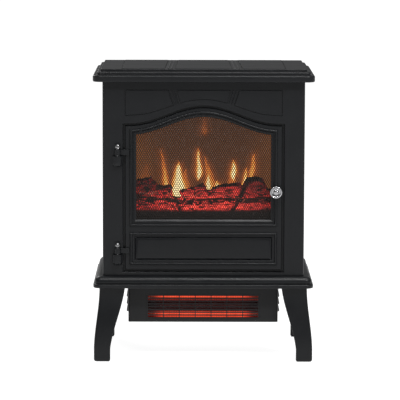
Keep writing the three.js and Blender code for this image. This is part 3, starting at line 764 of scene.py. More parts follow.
def powder_coat():
    """Black powder coat on sheet steel, with orange peel and a few rubbed places."""
    made = Finish("powder_coated_steel", Specular_IOR_Level=0.24)
    peel = made.noise(1.5, 2, 0.6)
    rubbed = made.span(made.noise(24, 5, 0.7), 0.6, 0.78)
    made.set(
        Base_Color=made.blend(rubbed, (0.0065, 0.0066, 0.007), (0.013, 0.013, 0.0135)),
        Roughness=made.span(rubbed, 0, 1, 0.5, 0.38),
        Normal=made.bump(peel, 0.035, 0.7),
    )
    return made.material


def polished_chrome():
    """Polished chrome with faint smears and hairline scratches."""
    made = Finish("polished_chrome", Metallic=1.0)
    smear = made.noise(6, 4)
    hair = made.noise(1.2, 3, place=made.stretched((0.12, 1.0, 1.6)))
    made.set(
        Base_Color=made.blend(smear, (0.3, 0.3, 0.31), (0.38, 0.38, 0.39)),
        Roughness=made.span(smear, 0.35, 0.7, 0.07, 0.15),
        Normal=made.bump(hair, 0.004, 0.5),
    )
    return made.material


def black_nickel():
    """Glossy black nickel plating with faint handling smears."""
    made = Finish("black_nickel", Metallic=1.0)
    smear = made.noise(3, 3)
    made.set(
        Base_Color=made.blend(smear, (0.16, 0.16, 0.163), (0.22, 0.22, 0.222)),
        Roughness=made.span(smear, 0.3, 0.7, 0.13, 0.2),
        Normal=made.bump(smear, 0.01, 0.3),
    )
    return made.material


def bright_steel():
    """Bright sheet steel with a fine rolled grain along X."""
    made = Finish("bright_rolled_steel", Metallic=1.0)
    grain = made.noise(0.9, 4, place=made.stretched((0.04, 1.0, 1.0)))
    stain = made.noise(30, 3)
    made.set(
        Base_Color=made.blend(stain, (0.2, 0.2, 0.21), (0.28, 0.28, 0.29)),
        Roughness=made.span(grain, 0.3, 0.7, 0.2, 0.36),
        Normal=made.bump(grain, 0.01, 0.6),
    )
    return made.material


def screen_black():
    """Blackened wire, a little browner and duller where it's been hot."""
    made = Finish("blackened_wire", Specular_IOR_Level=0.3)
    heat = made.noise(14, 3)
    made.set(
        Base_Color=made.blend(heat, (0.007, 0.006, 0.0055), (0.014, 0.0115, 0.01)),
        Roughness=made.span(heat, 0.3, 0.7, 0.42, 0.6),
        Normal=made.bump(made.noise(0.4, 2), 0.01, 0.5),
    )
    return made.material


def smoked_glass():
    """A thin clear pane with a warm tint, faint wipe marks and gloss at low angles."""
    made = Finish("smoked_pane", Base_Color=(0.05, 0.028, 0.016), IOR=1.45, Specular_IOR_Level=0.25)
    wipe = made.noise(18, 5, place=made.stretched((0.5, 1.0, 1.6)))
    edge = made.node("ShaderNodeFresnel", sockets={"IOR": 1.45})
    made.set(
        Roughness=made.span(wipe, 0.4, 0.7, 0.03, 0.12),
        Alpha=0.02 + edge * 0.6 + made.span(wipe, 0.5, 0.8) * 0.02,
        Normal=made.bump(wipe, 0.01, 0.3),
    )
    return made.material


def quartz_glass():
    """A glowing quartz tube, hotter in its middle, with the coil's bands showing."""
    made = Finish("glowing_quartz", Base_Color=(0.12, 0.05, 0.04), Emission_Strength=1.0)
    x, _, z = made.axes()
    band = (x * 1.35).sine() * 0.5 + 0.5
    bare = made.span(z, 99, 101, 1.0, 0.0).larger(made.span(z, 116.4, 117.8))
    middle = made.span(abs(x), 76, 102, 1.0, 0.03) * (0.06 + bare * 0.94)
    hot = middle * (0.75 + band * 0.25) * made.span(made.noise(12, 2), 0.2, 0.8, 0.8, 1.1)
    made.set(
        Emission_Color=made.ramp(hot, [(0.0, (0.06, 0.004, 0.003)), (0.5, (0.5, 0.03, 0.016)),
                                       (1.0, (1.0, 0.09, 0.035))]),
        Alpha=(1.7 - bare + band * 0.2).smaller(1.0),
        Roughness=made.span(band, 0, 1, 0.12, 0.3),
    )
    return made.material


def hot_wire():
    """Resistance wire at a bright orange heat."""
    made = Finish(
        "hot_resistance_wire",
        Base_Color=(0.3, 0.1, 0.05),
        Emission_Strength=1.6,
        Roughness=0.5,
    )
    x = made.axes()[0]
    hot = made.span(abs(x), 88, 112, 1.0, 0.1) * made.span(made.noise(8, 2), 0.2, 0.8, 0.8, 1.0)
    made.set(Emission_Color=made.ramp(hot, [(0.0, (0.08, 0.01, 0.0)), (1.0, (1.0, 0.3, 0.08))]))
    return made.material


def ceramic_white():
    """Unglazed off-white ceramic, scorched a little in patches."""
    made = Finish("steatite_ceramic")
    speckle = made.noise(0.8, 3)
    scorch = made.span(made.noise(11, 3), 0.5, 0.75)
    tone = made.blend(speckle, (0.62, 0.58, 0.5), (0.74, 0.7, 0.62))
    made.set(
        Base_Color=made.blend(scorch, tone, (0.42, 0.33, 0.24)),
        Roughness=made.span(speckle, 0.3, 0.7, 0.55, 0.75),
        Normal=made.bump(speckle, 0.05, 0.6),
    )
    return made.material


def dark_plastic():
    """Black nylon with a spark-eroded grain."""
    made = Finish("grained_black_nylon")
    grain = made.noise(0.7, 2, 0.6)
    made.set(
        Base_Color=made.blend(made.noise(26, 3), (0.011, 0.011, 0.012), (0.02, 0.02, 0.021)),
        Roughness=made.span(grain, 0.3, 0.7, 0.38, 0.58),
        Normal=made.bump(grain, 0.03, 0.6),
    )
    return made.material


def circuit_green():
    """Green solder mask over copper tracks, with tinned pads."""
    made = Finish("circuit_board")
    tracks = made.span(made.cells(7, "DISTANCE_TO_EDGE", randomness=0.35), 0.04, 0.07)
    pads = made.span(made.cells(5.08, randomness=0.0), 0.13, 0.17, 1.0, 0.0)
    mask = made.blend(tracks, (0.03, 0.16, 0.06), (0.012, 0.085, 0.032))
    made.set(
        Base_Color=made.blend(pads, mask, (0.55, 0.55, 0.5)),
        Metallic=pads,
        Roughness=made.span(pads, 0, 1, 0.35, 0.25),
        Normal=made.bump(tracks, 0.03, 0.6),
    )
    return made.material


# Each flame is (tip x, tip z, foot x, foot z, half width, heat), in millimetres.
FLAMES = (
    (-86, 406, -72, 318, 11.0, 0.5),
    (-80, 372, -73, 322, 6.5, 0.72),
    (-49, 380, -50, 298, 24.0, 1.2),
    (-34, 366, -38, 310, 16.0, 0.5),
    (-10, 404, -8, 342, 10.0, 1.0),
    (2, 388, 20, 318, 16.0, 0.55),
    (10, 358, 12, 316, 10.0, 1.05),
    (30, 344, 30, 312, 13.0, 1.0),
    (60, 384, 61, 342, 10.0, 1.0),
    (58, 374, 58, 318, 15.0, 0.45),
    (88, 366, 81, 318, 9.0, 0.9),
    (102, 400, 96, 338, 9.0, 0.62),
    (2, 470, 1, 428, 12.0, 0.26),
    (-112, 372, -118, 330, 16.0, 0.2),
)


def flame_light():
    """Flames thrown on the screen from behind: pointed tongues over a brown haze."""
    colours = bpy.context.scene.stove_fire
    made = Finish(
        "lit_flame_screen",
        Base_Color=(0.05, 0.03, 0.02),
        Emission_Strength=1.0,
        Roughness=0.6,
    )
    x, _, z = made.axes()
    streak = made.noise(7, 3, place=made.stretched((1.0, 1.0, 0.22)))
    across = x + (made.noise(30, 2) - 0.5) * 8
    up = z + (streak - 0.5) * 26
    fire = None
    for tip_x, tip_z, foot_x, foot_z, half, heat in FLAMES:
        share = ((up - foot_z) / (tip_z - foot_z)).clamped()
        lean = foot_x + share * (tip_x - foot_x)
        body = (1 - share) ** 0.85 * (share * 2.9 + 0.2).smaller(1.0) * half + 0.8
        off = abs(across - lean)
        core = made.span(off / body, 0.1, 1.5, 1.0, 0.0)
        halo = made.span(off / (body + 9), 0.0, 1.3, 0.42, 0.0)
        standing = made.span(up, foot_z - 6, foot_z + 6)
        standing = standing * made.span(up, tip_z - 12, tip_z + 6, 1, 0)
        tongue = core.larger(halo) * standing * (1.12 - share * 0.42) * heat
        fire = tongue if fire is None else fire.larger(tongue)
    edges = made.span(abs(x), 70, 140) * 0.5 + made.span(z, 330, 470, 0.45, 0.1)
    haze = edges * (made.noise(60, 3) + 0.4)
    brown = made.blend(haze.clamped(), (0.11, 0.042, 0.019), (0.27, 0.088, 0.022))
    colour = made.ramp(fire, [
        (0.0, (0.0, 0.0, 0.0)),
        (0.2, (0.2, 0.04, 0.005)),
        (0.42, tuple(0.85 * part for part in colours.flame_cool)),
        (0.68, (1.3, 0.62, 0.11)),
        (0.96, tuple(1.6 * part for part in colours.flame_hot)),
    ])
    made.set(Emission_Color=made.blend(1.0, brown, colour, "ADD"))
    return made.material


def glowing_resin():
    """Charred logs of translucent resin, lit red from inside and black along the bark. The glow is
    painted brightest low down and in the middle, fades on faces turned up, and is painted dark as
    shade in a crevice and a notch between the logs.
    """
    ember = bpy.context.scene.stove_fire.ember
    made = Finish("glowing_log_resin", Emission_Strength=1.0)
    x, _, z = made.axes()
    bark = made.noise(7, 5, 0.62, place=made.stretched((0.45, 1.0, 1.0)), distortion=0.4)
    chunks = made.cells(34, "DISTANCE_TO_EDGE", made.stretched((0.45, 1.0, 1.5)))
    crack = made.span(chunks, 0.0, 0.022, 1.0, 0.0)
    facing = made.node("ShaderNodeNewGeometry", output="Normal").socket
    tilt = made.node("ShaderNodeSeparateXYZ", sockets={"Vector": facing}, output="Z")
    # The glow is kept on faces turned sideways or down and fades out on faces turned up, broken up
    # by the bark.
    facing_down_glow = made.span(tilt + (bark - 0.5) * 0.7, 0.4, 0.8, 1.0, 0.0)
    # Painted light: the glow is brightest low down and in the middle of the fire, and is cut off
    # below z 289.
    low = made.span(z, 298, 350, 1.0, 0.42) * made.span(z, 289, 297)
    middle = made.span(abs(x - 5), 45, 125, 1.0, 0.5)
    patch = made.noise(26, 4, 0.6, place=made.stretched((0.5, 1.0, 1.0)))
    fissure = made.noise(4.5, 4, 0.65, place=made.stretched((0.3, 1.0, 1.1)), distortion=0.8)
    char_and_shade = made.span(patch, 0.58, 0.7) * 0.7 + made.span(bark, 0.55, 0.66) * 0.55
    char_and_shade = char_and_shade + made.span(fissure, 0.5, 0.58) * 0.62
    flake = made.cells(9, "DISTANCE_TO_EDGE", made.stretched((0.5, 1.0, 1.15)))
    char_and_shade = char_and_shade + made.span(flake, 0.02, 0.08, 0.45, 0.0)
    # Painted shade: two dark lines, along the crevice beside the slanted log on the right and the
    # notch between the logs on the left, are added to the char and take out the glow there.
    crevice_shade = made.span(abs(x - 53 - (z - 283) * 0.55) + patch * 6, 4, 10, 0.9, 0.0)
    notch_shade = made.span(abs(x + 45 + (z - 290) * 0.4) + patch * 6, 3, 8, 0.7, 0.0)
    char_and_shade = char_and_shade + crevice_shade + notch_shade
    lit = low * middle * facing_down_glow * (1 - char_and_shade.clamped())
    seam = crack * made.span(abs(z - 317), 3, 12, 1.0, 0.0) * made.span(patch, 0.45, 0.6)
    glow = made.ramp(lit, [
        (0.0, (0.0, 0.0, 0.0)),
        (0.2, (0.16, 0.009, 0.008)),
        (0.55, (0.95, 0.045, 0.036)),
        (1.0, tuple(2.2 * part for part in ember)),
    ])
    made.set(
        Base_Color=made.blend(bark, (0.01, 0.007, 0.006), (0.045, 0.025, 0.018)),
        Roughness=made.span(bark, 0.3, 0.7, 0.55, 0.9),
        Emission_Color=made.blend(seam, glow, (0.95, 0.2, 0.12)),
        Normal=made.bump(bark, 0.9, 0.9),
    )
    return made.material


def ember_light():
    """Lumps of ember, glowing red through the gaps in the ash, the glow painted fading towards the
    sides and the front.
    """
    made = Finish("lit_embers", Emission_Strength=1.0)
    x, y, _ = made.axes()
    ash = made.noise(5, 4, 0.6)
    gaps = made.span(ash, 0.4, 0.62, 1.0, 0.1)
    # Painted light: the glow fades towards the sides and dies out towards the front of the bed.
    lit = gaps * made.span(abs(x), 60, 132, 1.0, 0.35) * made.span(y, -84, -66)
    made.set(
        Base_Color=made.blend(ash, (0.012, 0.008, 0.007), (0.06, 0.04, 0.035)),
        Roughness=made.span(ash, 0.3, 0.7, 0.6, 0.9),
        Emission_Color=made.ramp(lit, [(0.0, (0.0, 0.0, 0.0)), (0.6, (0.25, 0.012, 0.01)),
                                       (1.0, (0.6, 0.04, 0.02))]),
        Normal=made.bump(ash, 0.5, 0.8),
    )
    return made.material


def pale_floor():
    """A pale plain studio floor, lit evenly from below as a light table is."""
    pale = bpy.context.scene.stove_stage.floor
    duller = [part * 13 / 15 for part in pale]
    made = Finish(
        "pale_floor",
        Specular_IOR_Level=0.2,
        Emission_Color=WHITE,
        Emission_Strength=0.92,
    )
    cloud = made.noise(400, 3)
    made.set(
        Base_Color=made.blend(cloud, duller, pale),
        Roughness=made.span(cloud, 0.3, 0.7, 0.7, 0.8),
    )
    return made.material


FINISHES = {
    "satin_black": satin_black,
    "painted_steel": powder_coat,
    "bright_chrome": polished_chrome,
    "bright_steel": bright_steel,
    "mesh_black": screen_black,
    "smoked_glass": smoked_glass,
    "flame_diffuser": flame_light,
    "ember_resin": glowing_resin,
    "quartz_glow": quartz_glass,
    "ceramic": ceramic_white,
    "dark_plastic": dark_plastic,
    "circuit_board": circuit_green,
}
made_finishes = {}


def finish_of(slot, make=None):
    """The material for a slot, made once."""
    make = make or FINISHES[slot]
    if make.__name__ not in made_finishes:
        made_finishes[make.__name__] = make()
    return made_finishes[make.__name__]


def hand_over(piece, name, body, slot, *nodes, make=None):
    """Names a piece, gives it its finish and its body, and hides the frame nodes it stands for."""
    level = piece.modifiers.new("level", "WEIGHTED_NORMAL")
    level.keep_sharp = True
    settle(piece)
    piece.name = name
    piece.data.name = name
    piece.data.materials.clear()
    piece.data.materials.append(finish_of(slot, make))
    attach(piece, body)
    if nodes:
        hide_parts(*nodes)


# ---- Settings ----------------------------------------------------------------

def length(name, description, default_mm):
    """A length whose default is given in millimetres."""
    return bpy.props.FloatProperty(
        name=name,
        description=description,
        default=default_mm * MM,
        min=0.0,
        unit="LENGTH",
        subtype="DISTANCE",
    )


def colour(name, description, default):
    """A colour in linear light."""
    return bpy.props.FloatVectorProperty(
        name=name,
        description=description,
        default=default,
        subtype="COLOR",
        min=0.0,
        max=1.0,
    )


class StoveCabinetSettings(bpy.types.PropertyGroup):
    corner: length("Plate corner", "Radius of the top and base plates' corners", 16)
    rib: length("Rib radius", "Radius of the ribs between the embossed panels", 1.3)
    edge: length("Body edge", "Radius of the front panel's upright edges", 5)
    roundover: length("Recess edge", "Rounding of the edge of the door recess", 1.6)
    louvre: length("Louvre reach", "How far the rear louvres stand out", 2.6)


class StoveDoorSettings(bpy.types.PropertyGroup):
    bead: length("Bead width", "Width of the beads round the window and the lower panel", 5.4)
    wire: length("Wire radius", "Radius of the screen's wires", 0.68)
    mesh_width: length("Mesh width", "Width of one diamond of the screen", 4.3)
    mesh_height: length("Mesh height", "Height of one diamond of the screen", 7.6)
    knob: length("Knob radius", "Radius of the door knob", 12.5)


class StoveFireSettings(bpy.types.PropertyGroup):
    flame_hot: colour("Flame heart", "Colour of the middle of a flame", (1.0, 0.84375, 0.4375))
    flame_cool: colour("Flame edge", "Colour of the edge of a flame", (1.0, 0.2353, 0.02353))
    ember: colour("Ember glow", "Colour of the brightest glow in the logs", (1.0, 0.07727, 0.05))
    voxel: length("Log detail", "Grid size of the moulded log relief", 1.6)


class StoveHeaterSettings(bpy.types.PropertyGroup):
    slot_width: length("Slot width", "Width of one outlet slot", 29.8)
    slot_height: length("Slot height", "Height of one outlet slot", 3.4)
    slot_pitch: length("Slot pitch", "Distance between outlet slots", 5.64)
    bay_pitch: length("Bay pitch", "Distance between columns of slots", 31.2)
    tube: length("Tube radius", "Radius of a quartz tube", 5.5)


class StoveStageSettings(bpy.types.PropertyGroup):
    lens: bpy.props.FloatProperty(
        name="Lens",
        description="Focal length",
        default=218.2,
        min=1.0,
        unit="CAMERA",
    )
    distance: length("Distance", "Distance of the camera in front of the middle", 4797.8)
    height: length("Height", "Height of the camera above the floor", 936.4)
    floor: colour("Floor", "Colour of the floor", (0.3, 0.3, 0.3))
    ambient: bpy.props.FloatProperty(
        name="Ambient",
        description="Strength of the soft light",
        default=0.7,
        min=0.0,
    )


# ---- Top plate, base plate and legs ------------------------------------------

# Width and depth of the groove round each embossed panel.
GROOVE = 1.3


def moulding(name, line, corner, z):
    """A plate whose edge follows a line of (inset, height) pairs."""
    rings = []
    for inset, height in line:
        radius = max(corner - inset, 3.0)
        outline = rounded(TOP_HIGH.x - inset, TOP_HIGH.y - inset, radius, 10)
        rings.append(in_plan(outline, z + height))
    return solid(name, *skin(rings))


def top_plate(settings):
    """A stepped moulding with three embossed panels and ribs between them."""
    plateau, step_height = 15.0, 19.6
    level = TOP_HIGH.z - TOP_LOW.z - PAD_RAISE
    # Each corner of the edge is (inset, height, radius).
    line = filleted([
        (9, 0, 0),
        (0, 0, 2.5),
        (0, 13, 3.4),
        (7.8, 13.2, 0.5),
        (7.8, step_height, 3),
        (plateau, step_height, 0.4),
        (plateau + 0.5, level, 1.2),
        (26, level, 0),
    ])
    plate = moulding("top_moulding", line, settings.corner / MM, TOP_LOW.z)
    front = TOP_LOW.y + plateau + 8
    back = -front
    near, far, gap, outer = 55.0, 50.0, 21.0, 158.0
    middle = [(-near, front), (near, front), (far, back), (-far, back)]
    side = [(near + gap, front), (outer, front), (outer, back), (far + gap, back)]
    pads, grooves = [], []
    for outline in (middle, side, flipped(side)):
        pad = slab("pad", outline, in_plan, TOP_HIGH.z - 3, TOP_HIGH.z)
        pads.append(ease(pad, 0.45, 2))
        low = TOP_LOW.z + level - GROOVE
        grooves.append(slab("groove", widened(outline, GROOVE), in_plan, low, TOP_HIGH.z + 1))
    radius = settings.rib / MM
    depth = TOP_HIGH.z - radius
    for hand in (-1, 1):
        for share in (0.34, 0.66):
            start = (hand * (near + gap * share), front + 1, depth)
            end = (hand * (far + gap * share), back - 1, depth)
            pads.append(rod("rib", radius, start, end))
    cut(plate, *grooves)
    join(plate, *pads)
    room_x, room_y, roof = 186, 107, 5
    hollow = block("hollow", (-room_x, -room_y, TOP_LOW.z - 1), (room_x, room_y, TOP_HIGH.z - roof))
    cut(plate, hollow)
    hand_over(plate, "top_moulding", "cabinet", "satin_black", "top_plate")


def base_plate(settings):
    """A moulding in two tiers, open above as a tray."""
    hollow_radius = 11
    quarter = [
        (14.2 + hollow_radius * math.cos(angle), 12 + hollow_radius * math.sin(angle))
        for angle in sweep(180, 90, 8)
    ]
    # Each corner of the edge is (inset, height, radius).
    line = filleted([
        (9, 0, 0),
        (0, 0, 2),
        (0, 7.8, 2.6),
        (5, 8.2, 0.4),
        (5, 9.6, 0.4),
        (3.2, 10, 0.8),
        quarter[0] + (0,),
    ])
    plate = moulding("base_moulding", line + quarter[1:], settings.corner / MM, BASE_LOW.z)
    room_x, room_y, floor = 186, 105, 5
    tray = block("tray", (-room_x, -room_y, BASE_LOW.z + floor), (room_x, room_y, BASE_HIGH.z + 1))
    wire_hole = block("wire_hole", (-40, 60, BASE_LOW.z - 1), (40, 90, BASE_LOW.z + floor + 1))
    cut(plate, tray, wire_hole)
    hand_over(plate, "base_moulding", "cabinet", "satin_black", "base_plate")


def splay(z, top, ankle, straightness):
    """How far out a leg's edge has run at a height, from 0 at the top to 1 at the ankle."""
    down = min(max((top - z) / (top - ankle), 0), 1)
    return straightness * down + (1 - straightness) * down * down * (3 - 2 * down)


def leg_shape():
    """The rear right leg: an L section with its corner outwards, splaying towards the floor."""
    wall = 6.0
    plate_offset = TOP_HIGH.x - TOP_HIGH.y
    top = BASE_LOW.z
    rings = []
    sole, head = 4, top - 0.3
    levels = [0, 0.7, 1.6, 2.8, sole] + [sole + 4 * i for i in range(1, 35)] + [head]
    outer_top, outer_reach, inner_top, inner_reach = 203, 10.8, 152.9, 28.7
    for z in levels:
        rounding = 2.2 * max(1 - z / sole, 0) ** 2
        outer = outer_top + outer_reach * splay(z, top, 20, 0) - rounding
        inner = inner_top + inner_reach * splay(z, top, 25, 0.5) + rounding
        back, side = outer - plate_offset, inner - plate_offset
        outline = filleted([
            (outer, side, 1.6),
            (outer, back, 5),
            (inner, back, 1.6),
            (inner, back - wall, 1.6),
            (outer - wall, back - wall, 3),
            (outer - wall, side, 1.6),
        ], closed=True)
        rings.append(in_plan(outline, z))
    leg = solid("leg", *skin(rings))
    flange = slab("flange", rounded(22, 22, 4, centre=(176, 99)), in_plan, head - 4, head)
    return join(leg, ease(flange, 0.8, 2))


def legs():
    """Three legs turned over from the fourth."""
    shape = leg_shape()
    for name, sx, sy in (("rear_left", -1, 1), ("front_right", 1, -1), ("front_left", -1, -1)):
        twin = mirrored(shape, name + "_foot", sx, sy)
        hand_over(twin, name + "_foot", "cabinet", "satin_black", name + "_leg")
    hand_over(shape, "rear_right_foot", "cabinet", "satin_black", "rear_right_leg")


# ---- Front panel and sheet panels --------------------------------------------

def front_panel(settings):
    """The moulded front, with three embossed panels over the arched recess for the door."""
    edge = settings.edge / MM
    outline = filleted([
        (-BODY_HALF, PANEL_BACK, 0.6),
        (-BODY_HALF, FACE, edge),
        (BODY_HALF, FACE, edge),
        (BODY_HALF, PANEL_BACK, 0.6),
    ], steps=8, closed=True)
    panel = slab("front_moulding", outline, in_plan, PANEL_LOW.z, PANEL_HIGH.z)
    line_top, line_side, line_rise = 531.0, 482.6, 31.4
    divider_high, divider_low = (51.7, 69.3), (45, 59.7)

    def lower_edge(start, end):
        steps = 14
        xs = [start + (end - start) * i / steps for i in range(steps + 1)]
        return [(x, arch_height(x, line_side, line_rise)) for x in xs]

    outer = 151.8
    side_pad = [(outer, line_side), (outer, line_top), (divider_high[1], line_top)]
    side_pad += lower_edge(divider_low[1], 118)
    middle_pad = [(divider_high[0], line_top), (-divider_high[0], line_top)]
    middle_pad += lower_edge(-divider_low[0], divider_low[0])
    raised, grooves = [], []
    pad_top = FACE - PAD_RAISE - 0.5
    for points in (side_pad, flipped(side_pad), middle_pad):
        raised.append(ease(slab("pad", points, in_front, pad_top, FACE + 1.2), 0.8, 3))
        grooves.append(slab("groove", widened(points, GROOVE), in_front, FACE - 1, FACE + GROOVE))
    radius = settings.rib / MM
    depth = pad_top + radius
    for side in (-1, 1):
        for share in (0.33, 0.67):
            top_x, low_x = (
                near + (far - near) * share
                for near, far in (divider_high, divider_low)
            )
            low_z = arch_height(low_x, line_side, line_rise)
            start, end = (side * top_x, depth, line_top), (side * low_x, depth, low_z)
            raised.append(rod("rib", radius, start, end))
    cut(panel, *grooves)
    join(panel, *raised)
    radius = settings.roundover / MM
    rim = [(radius, FACE - 1.5)]
    for angle in sweep(0, 90, 6):
        rim.append((radius * (1 - math.sin(angle)), FACE + radius * (1 - math.cos(angle))))
    rim.append((0, RECESS_FLOOR))
    recess = solid("recess", *skin([in_front(arched(RECESS, grow), y) for grow, y in rim]))
    opening = slab("opening", arched(WINDOW, 5), in_front, RECESS_FLOOR - 1, PANEL_BACK + 1)
    pocket = slab("pocket", rectangle(*CATCH_POCKET), in_front, RECESS_FLOOR - 1, PANEL_BACK + 1)
    cut(panel, recess)
    cut(panel, opening, pocket)
    hand_over(panel, "front_moulding", "cabinet", "satin_black", "front_panel")


def screw_head(radius):
    """A pan head with a cross recess, on the origin with its top towards +Z."""
    height = 1.9
    dome = [(1, 0), (1, 0.5), (0.8, 0.85), (0.45, 1), (0, 1)]
    dome = [(radius * across, height * up) for across, up in dome]
    head = turned("screw", dome, (0, 0, 0), (0, 0, 1), 14)
    long, thin = 0.62 * radius, 0.16 * radius
    bars = [
        block("bar", (-x, -y, 0.45 * height), (x, y, height + 1))
        for x, y in ((long, thin), (thin, long))
    ]
    return cut(head, *bars)


# The turn that points a screw's top each way.
FACING = {
    "front": (math.pi / 2, 0, 0),
    "back": (-math.pi / 2, 0, 0),
    "right": (0, math.pi / 2, 0),
    "left": (0, -math.pi / 2, 0),
    "down": (math.pi, 0, 0),
}


def screws(name, facing, radius, start, step, count, **rows):
    """A row of screws on the cabinet, or a grid where rows and row_step are given."""
    grid = stepped(name, screw_head(radius), count, start, step, FACING[facing], **rows)
    hand_over(grid, name, "cabinet", "bright_steel")


def side_panels():
    """Sheets turned in along the back edge, with a pressed field and a column of screws."""
    sheet = 1.5
    outer = SIDE_HIGH.x
    front, back = SIDE_LOW.y, SIDE_HIGH.y
    flange = 14.0
    wall = filleted([
        (outer - sheet, front, 0.4),
        (outer, front, 0.6),
        (outer, back, 1.4),
        (outer - flange, back, 0.4),
        (outer - flange, back - sheet, 0.4),
        (outer - sheet, back - sheet, 0.3),
    ], closed=True)
    panel = slab("right_sheet", wall, in_plan, SIDE_LOW.z, SIDE_HIGH.z)
    middle_z = (SIDE_LOW.z + SIDE_HIGH.z) / 2
    field = rounded(86, 150, 14, centre=(5, middle_z))
    pressing = slab("pressing", field, in_section, outer - 0.6, outer + 2)
    cut(panel, ease(pressing, 0.5, 2))
    twin = mirrored(panel, "left_sheet")
    hand_over(panel, "right_sheet", "cabinet", "painted_steel", "right_side_panel")
    hand_over(twin, "left_sheet", "cabinet", "painted_steel", "left_side_panel")
    for side, facing in ((1, "right"), (-1, "left")):
        start = (side * (outer - 0.3), back - 9, SIDE_LOW.z + 22)
        screws(facing + "_side_screws", facing, 2.6, start, (0, 0, 112), 4)


def louvre_hood(width, rise, reach):
    """A pressed hood, open below, standing on the rear face from x = 0 and z = 0."""
    run_out, sheet = 6, 0.7
    arc = sweep(0, 90, 6)
    rings = []
    for i in range(17):
        x = width * i / 16
        end = min(x, width - x) / run_out
        share = max(math.sin(min(end, 1) * math.pi / 2), 0.06)
        outer = [(reach * share * math.cos(a) - 0.3, rise * math.sin(a)) for a in arc]
        inner = [
            ((reach - sheet) * share * math.cos(a) - 0.5, (rise - 0.9) * math.sin(a))
            for a in reversed(arc)
        ]
        rings.append(in_section(outer + inner, x))
    return solid("hood", *skin(rings))


def rear_panel(settings):
    """A sheet with hooded air slots, an opening for the controls and a hole for the cord."""
    panel = block("rear_sheet", REAR_LOW, REAR_HIGH)
    through = (REAR_LOW.y - 2, REAR_FACE + 2)
    slot_height, slot_width, left, low = 5.0, 70.0, -130.0, 330.0
    layout = {"step": (86.0, 0, 0), "rows": 6, "row_step": (0, 0, 12.0)}
    slot = block("slot", (0, through[0], 0), (slot_width, through[1], slot_height))
    slots = stepped("slots", slot, 3, (left, 0, low), **layout)
    plate_low, plate_high = box_mm("control_panel")
    lap = 6
    window = rectangle(plate_low.x + lap, plate_low.z + lap, plate_high.x - lap, plate_high.z - lap)
    control = slab("control", window, in_front, *through)
    gland_x, _, gland_z = middle_mm("cord_gland")
    hole = rod("hole", 6.6, (gland_x, through[0], gland_z), (gland_x, through[1], gland_z), 40)
    cut(panel, slots, control, hole)
    hand_over(ease(panel, 0.3, 2), "rear_sheet", "cabinet", "painted_steel", "rear_panel")
    hood = louvre_hood(slot_width, slot_height + 3.4, settings.louvre / MM)
    hoods = stepped("rear_louvres", hood, 3, (left, REAR_FACE, low), **layout)
    hand_over(hoods, "rear_louvres", "cabinet", "painted_steel")
    margin, seat = 8, REAR_FACE - 0.2
    edge_x, low_z, high_z = REAR_HIGH.x - margin, REAR_LOW.z + margin, REAR_HIGH.z - margin
    for place, z, count in (
        ("lower", low_z, 3),
        ("upper", high_z, 3),
        ("middle", (low_z + high_z) / 2, 2),
    ):
        step = (2 * edge_x / (count - 1), 0, 0)
        screws("rear_" + place + "_screws", "back", 3.0, (-edge_x, seat, z), step, count)


# ---- Door --------------------------------------------------------------------

SCREW_HOLE = 2.4


def bead_ring(name, outline_at, half_width, height, face):
    """A half-round bead following an outline; outline_at gives the outline at a margin."""
    rings = [
        in_front(outline_at(half_width * math.cos(angle)), face - height * math.sin(angle))
        for angle in sweep(0, 180, 12)
    ]
    rings += [in_front(outline_at(side * half_width), face + 1) for side in (-1, 1)]
    return solid(name, *skin(rings, around=True))


def opening_skin(name, outline_at, levels):
    """A solid whose outline changes with depth; levels are (margin, depth) pairs."""
    return solid(name, *skin([in_front(outline_at(margin), y) for margin, y in levels]))


def knob_place():
    x, _, z = middle_mm("door_knob")
    return x, z


def door_frame(settings):
    """The leaf with its arched window, its lower opening and the beads round both."""
    half_bead = settings.bead / MM / 2
    before, behind, seat = DOOR_FACE - 6, DOOR_BACK + 1, DOOR_FACE + 3
    leaf = opening_skin("door_leaf", lambda by: arched(DOOR, by), [
        (-2.4, DOOR_FACE),
        (-0.9, DOOR_FACE + 0.5),
        (0, DOOR_FACE + 2),
        (0, DOOR_BACK),
    ])
    window = opening_skin("window", lambda by: arched(WINDOW, by), [
        (3.4, before),
        (3.4, DOOR_FACE + 0.2),
        (0.5, DOOR_FACE + 2.2),
        (0, seat),
        (0, behind),
    ])
    lower = opening_skin("lower", lambda by: framed(LOWER_OPENING, by), [
        (1.6, before),
        (1.6, DOOR_FACE + 0.2),
        (0, DOOR_FACE + 2),
        (0, behind),
    ])
    rebate = slab("rebate", arched(WINDOW, 5), in_front, seat, behind)
    lower_rebate = slab("rebate", framed(LOWER_OPENING, 3), in_front, seat, behind)
    beads = [
        bead_ring("bead", lambda by: arched(WINDOW_BEAD, by), half_bead, BEAD_RAISE, DOOR_FACE),
        bead_ring("bead", lambda by: framed(LOWER_BEAD, by), half_bead, BEAD_RAISE, DOOR_FACE),
        bead_ring("bead", lambda by: arched(WINDOW, 4.6 + by), 0.9, 1.1, DOOR_FACE),
    ]
    knob_x, knob_z = knob_place()
    profile = [(9.6, -1), (9.6, 1), (9, 2.6), (8.4, BEAD_RAISE), (0, BEAD_RAISE)]
    boss = turned("boss", profile, (knob_x, DOOR_FACE, knob_z), (0, -1, 0))
    cut(leaf, rebate, lower_rebate)
    join(leaf, *beads, boss)
    cut(leaf, window, lower)
    hole = rod("hole", SCREW_HOLE, (knob_x, behind, knob_z), (knob_x, before, knob_z))
    sink = rod("sink", 4.6, (knob_x, behind, knob_z), (knob_x, DOOR_BACK - 3.2, knob_z))
    pocket = slab("pocket", rectangle(*STRIKER_POCKET), in_front, DOOR_BACK - 1.6, behind)
    cut(leaf, hole, pocket)
    cut(leaf, sink)
    hand_over(leaf, "door_leaf", "door", "satin_black", "door_frame")


